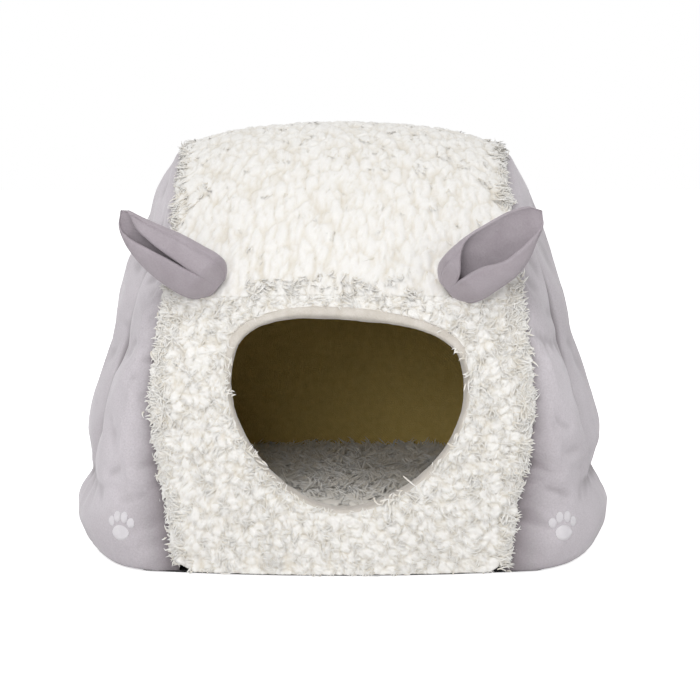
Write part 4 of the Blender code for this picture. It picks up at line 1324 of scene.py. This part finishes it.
def add_cushion():
    shape = cushion_outline()
    low, high = shape[3], shape[4]
    angle = shape[0][None]
    inset = (1 - np.cos(np.linspace(0.0, math.pi / 2, 60)))[:, None] * 0.985
    top = cushion_place(shape, angle, inset)
    top[..., 2] += curl_relief(top[..., 0], top[..., 1], 0.009, 1.0, 4.0) * 0.003
    sag = soft_noise(top, 0.09, 5.0) * 0.0025 * ease(inset / 0.3)
    top[..., 2] += sag
    belly = np.linspace(0.0, math.pi / 2, 12)[1:, None]
    under = cushion_place(shape, angle, (1 - np.cos(belly)) * 0.06)
    under[..., 2] = low + 0.0002 + (high - CUSHION_PLUMPNESS - low) * 0.42 * (1 - np.sin(belly))
    points, faces = capped(np.concatenate([under[::-1], top]))
    cover = make_piece("cushion_cover", points, faces, CREAM_PILE)
    # painted shade: the cushion's cloth is mixed evenly part way towards the root colour
    add_tone(cover, np.full(len(points), 0.45), np.full(len(points), 0.5))
    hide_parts("cushion_top_cover", "cushion_filling")
    random = np.random.default_rng(31)
    a, b = jittered(random, (-0.20, -0.20), (0.20, 0.20), 0.0095)
    spin, far = np.arctan2(b, a), np.hypot(a, b)
    edge = np.interp(spin, shape[0], shape[1], period=2 * math.pi)
    keep = far < edge * 0.955
    spin, inset = spin[keep], 1 - far[keep] / edge[keep]
    here = cushion_place(shape, spin, inset)
    here[:, 2] += 0.001
    across = np.broadcast_to([1.0, 0.0, 0.0], here.shape)
    along = np.broadcast_to([0.0, 1.0, 0.0], here.shape)
    outward = np.broadcast_to([0.0, 0.0, 1.0], here.shape)
    flow = random.normal(0, 1, (len(here), 2))
    locks = add_locks("cushion_locks", here, (across, along, outward), flow, 0.011, 0.7, 6, random)
    for piece in (cover, locks):
        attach(piece, "cushion")


# ------------------------------------------------------------------------ stage and camera


def add_stage():
    bpy.ops.mesh.primitive_plane_add(size=12.0, location=(0.0, 0.0, 0.0))
    floor = bpy.context.object
    floor.name = "studio_floor"
    material, tree, shader = start_material("studio_white", Roughness=0.9, Specular_IOR_Level=0.05)
    shader.inputs["Base Color"].default_value = (0.93, 0.93, 0.93, 1.0)
    shader.inputs["Emission Color"].default_value = (1.0, 1.0, 1.0, 1.0)
    seen = node(tree, "ShaderNodeLightPath").outputs["Is Camera Ray"]
    tree.links.new(maths(tree, "MULTIPLY", seen, 0.75), shader.inputs["Emission Strength"])
    floor.data.materials.append(material)


def add_light(name, place, aim, size, energy):
    lamp = bpy.data.lights.new(name, "AREA")
    lamp.energy = energy
    lamp.size = size
    thing = bpy.data.objects.new(name, lamp)
    bpy.context.scene.collection.objects.link(thing)
    thing.location = place
    thing.rotation_euler = (Vector(aim) - Vector(place)).to_track_quat("-Z", "Y").to_euler()


def add_lights():
    world = bpy.data.worlds.new("studio")
    world.use_nodes = True
    tree = world.node_tree
    background = tree.nodes["Background"]
    background.inputs["Color"].default_value = (1.0, 1.0, 1.0, 1.0)
    seen = tree.nodes.new("ShaderNodeLightPath").outputs["Is Camera Ray"]
    strength = tree.nodes.new("ShaderNodeMapRange")
    strength.inputs["To Min"].default_value = ROOM_LIGHT
    strength.inputs["To Max"].default_value = 1.0
    tree.links.new(seen, strength.inputs["Value"])
    tree.links.new(strength.outputs["Result"], background.inputs["Strength"])
    bpy.context.scene.world = world
    middle = (0.0, 0.0, 0.18)
    add_light("overhead_softbox", (-0.3, -1.0, 1.8), middle, 1.1, 10.5)
    add_light("front_softbox", (-0.5, -2.3, 0.9), middle, 1.0, 15.0)
    add_light("right_softbox", (1.7, -0.9, 0.8), middle, 0.8, 4.0)
    add_light("rear_softbox", (-0.9, 1.9, 1.3), middle, 1.2, 7.0)


ROOM_LIGHT = 0.50
CAMERA_DISTANCE = 2.2
CAMERA_ELEVATION = 6.5
CAMERA_AIM = Vector((0.0065, 0.0, 0.1601))
CAMERA_LENS = 128.6


def add_camera():
    tilt = math.radians(CAMERA_ELEVATION)
    data = bpy.data.cameras.new("camera")
    data.lens = CAMERA_LENS
    camera = bpy.data.objects.new("camera", data)
    bpy.context.scene.collection.objects.link(camera)
    camera.location = CAMERA_AIM + Vector((0.0, -math.cos(tilt), math.sin(tilt))) * CAMERA_DISTANCE
    camera.rotation_euler = (math.radians(90.0) - tilt, 0.0, 0.0)
    bpy.context.scene.camera = camera


# ------------------------------------------------------------------------------- assembly

add_camera()
add_lights()
add_stage()
dress_frame()
for piece in add_front() + add_roof_and_back() + add_fringes() + [add_binding()] + add_linings():
    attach(piece, "bed")
for side in ("left", "right"):
    cover = add_side(side)
    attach(cover, "bed")
    add_paw(side, cover)
    add_ear(side)
add_cushion()

bpy.context.scene.view_settings.view_transform = "Standard"
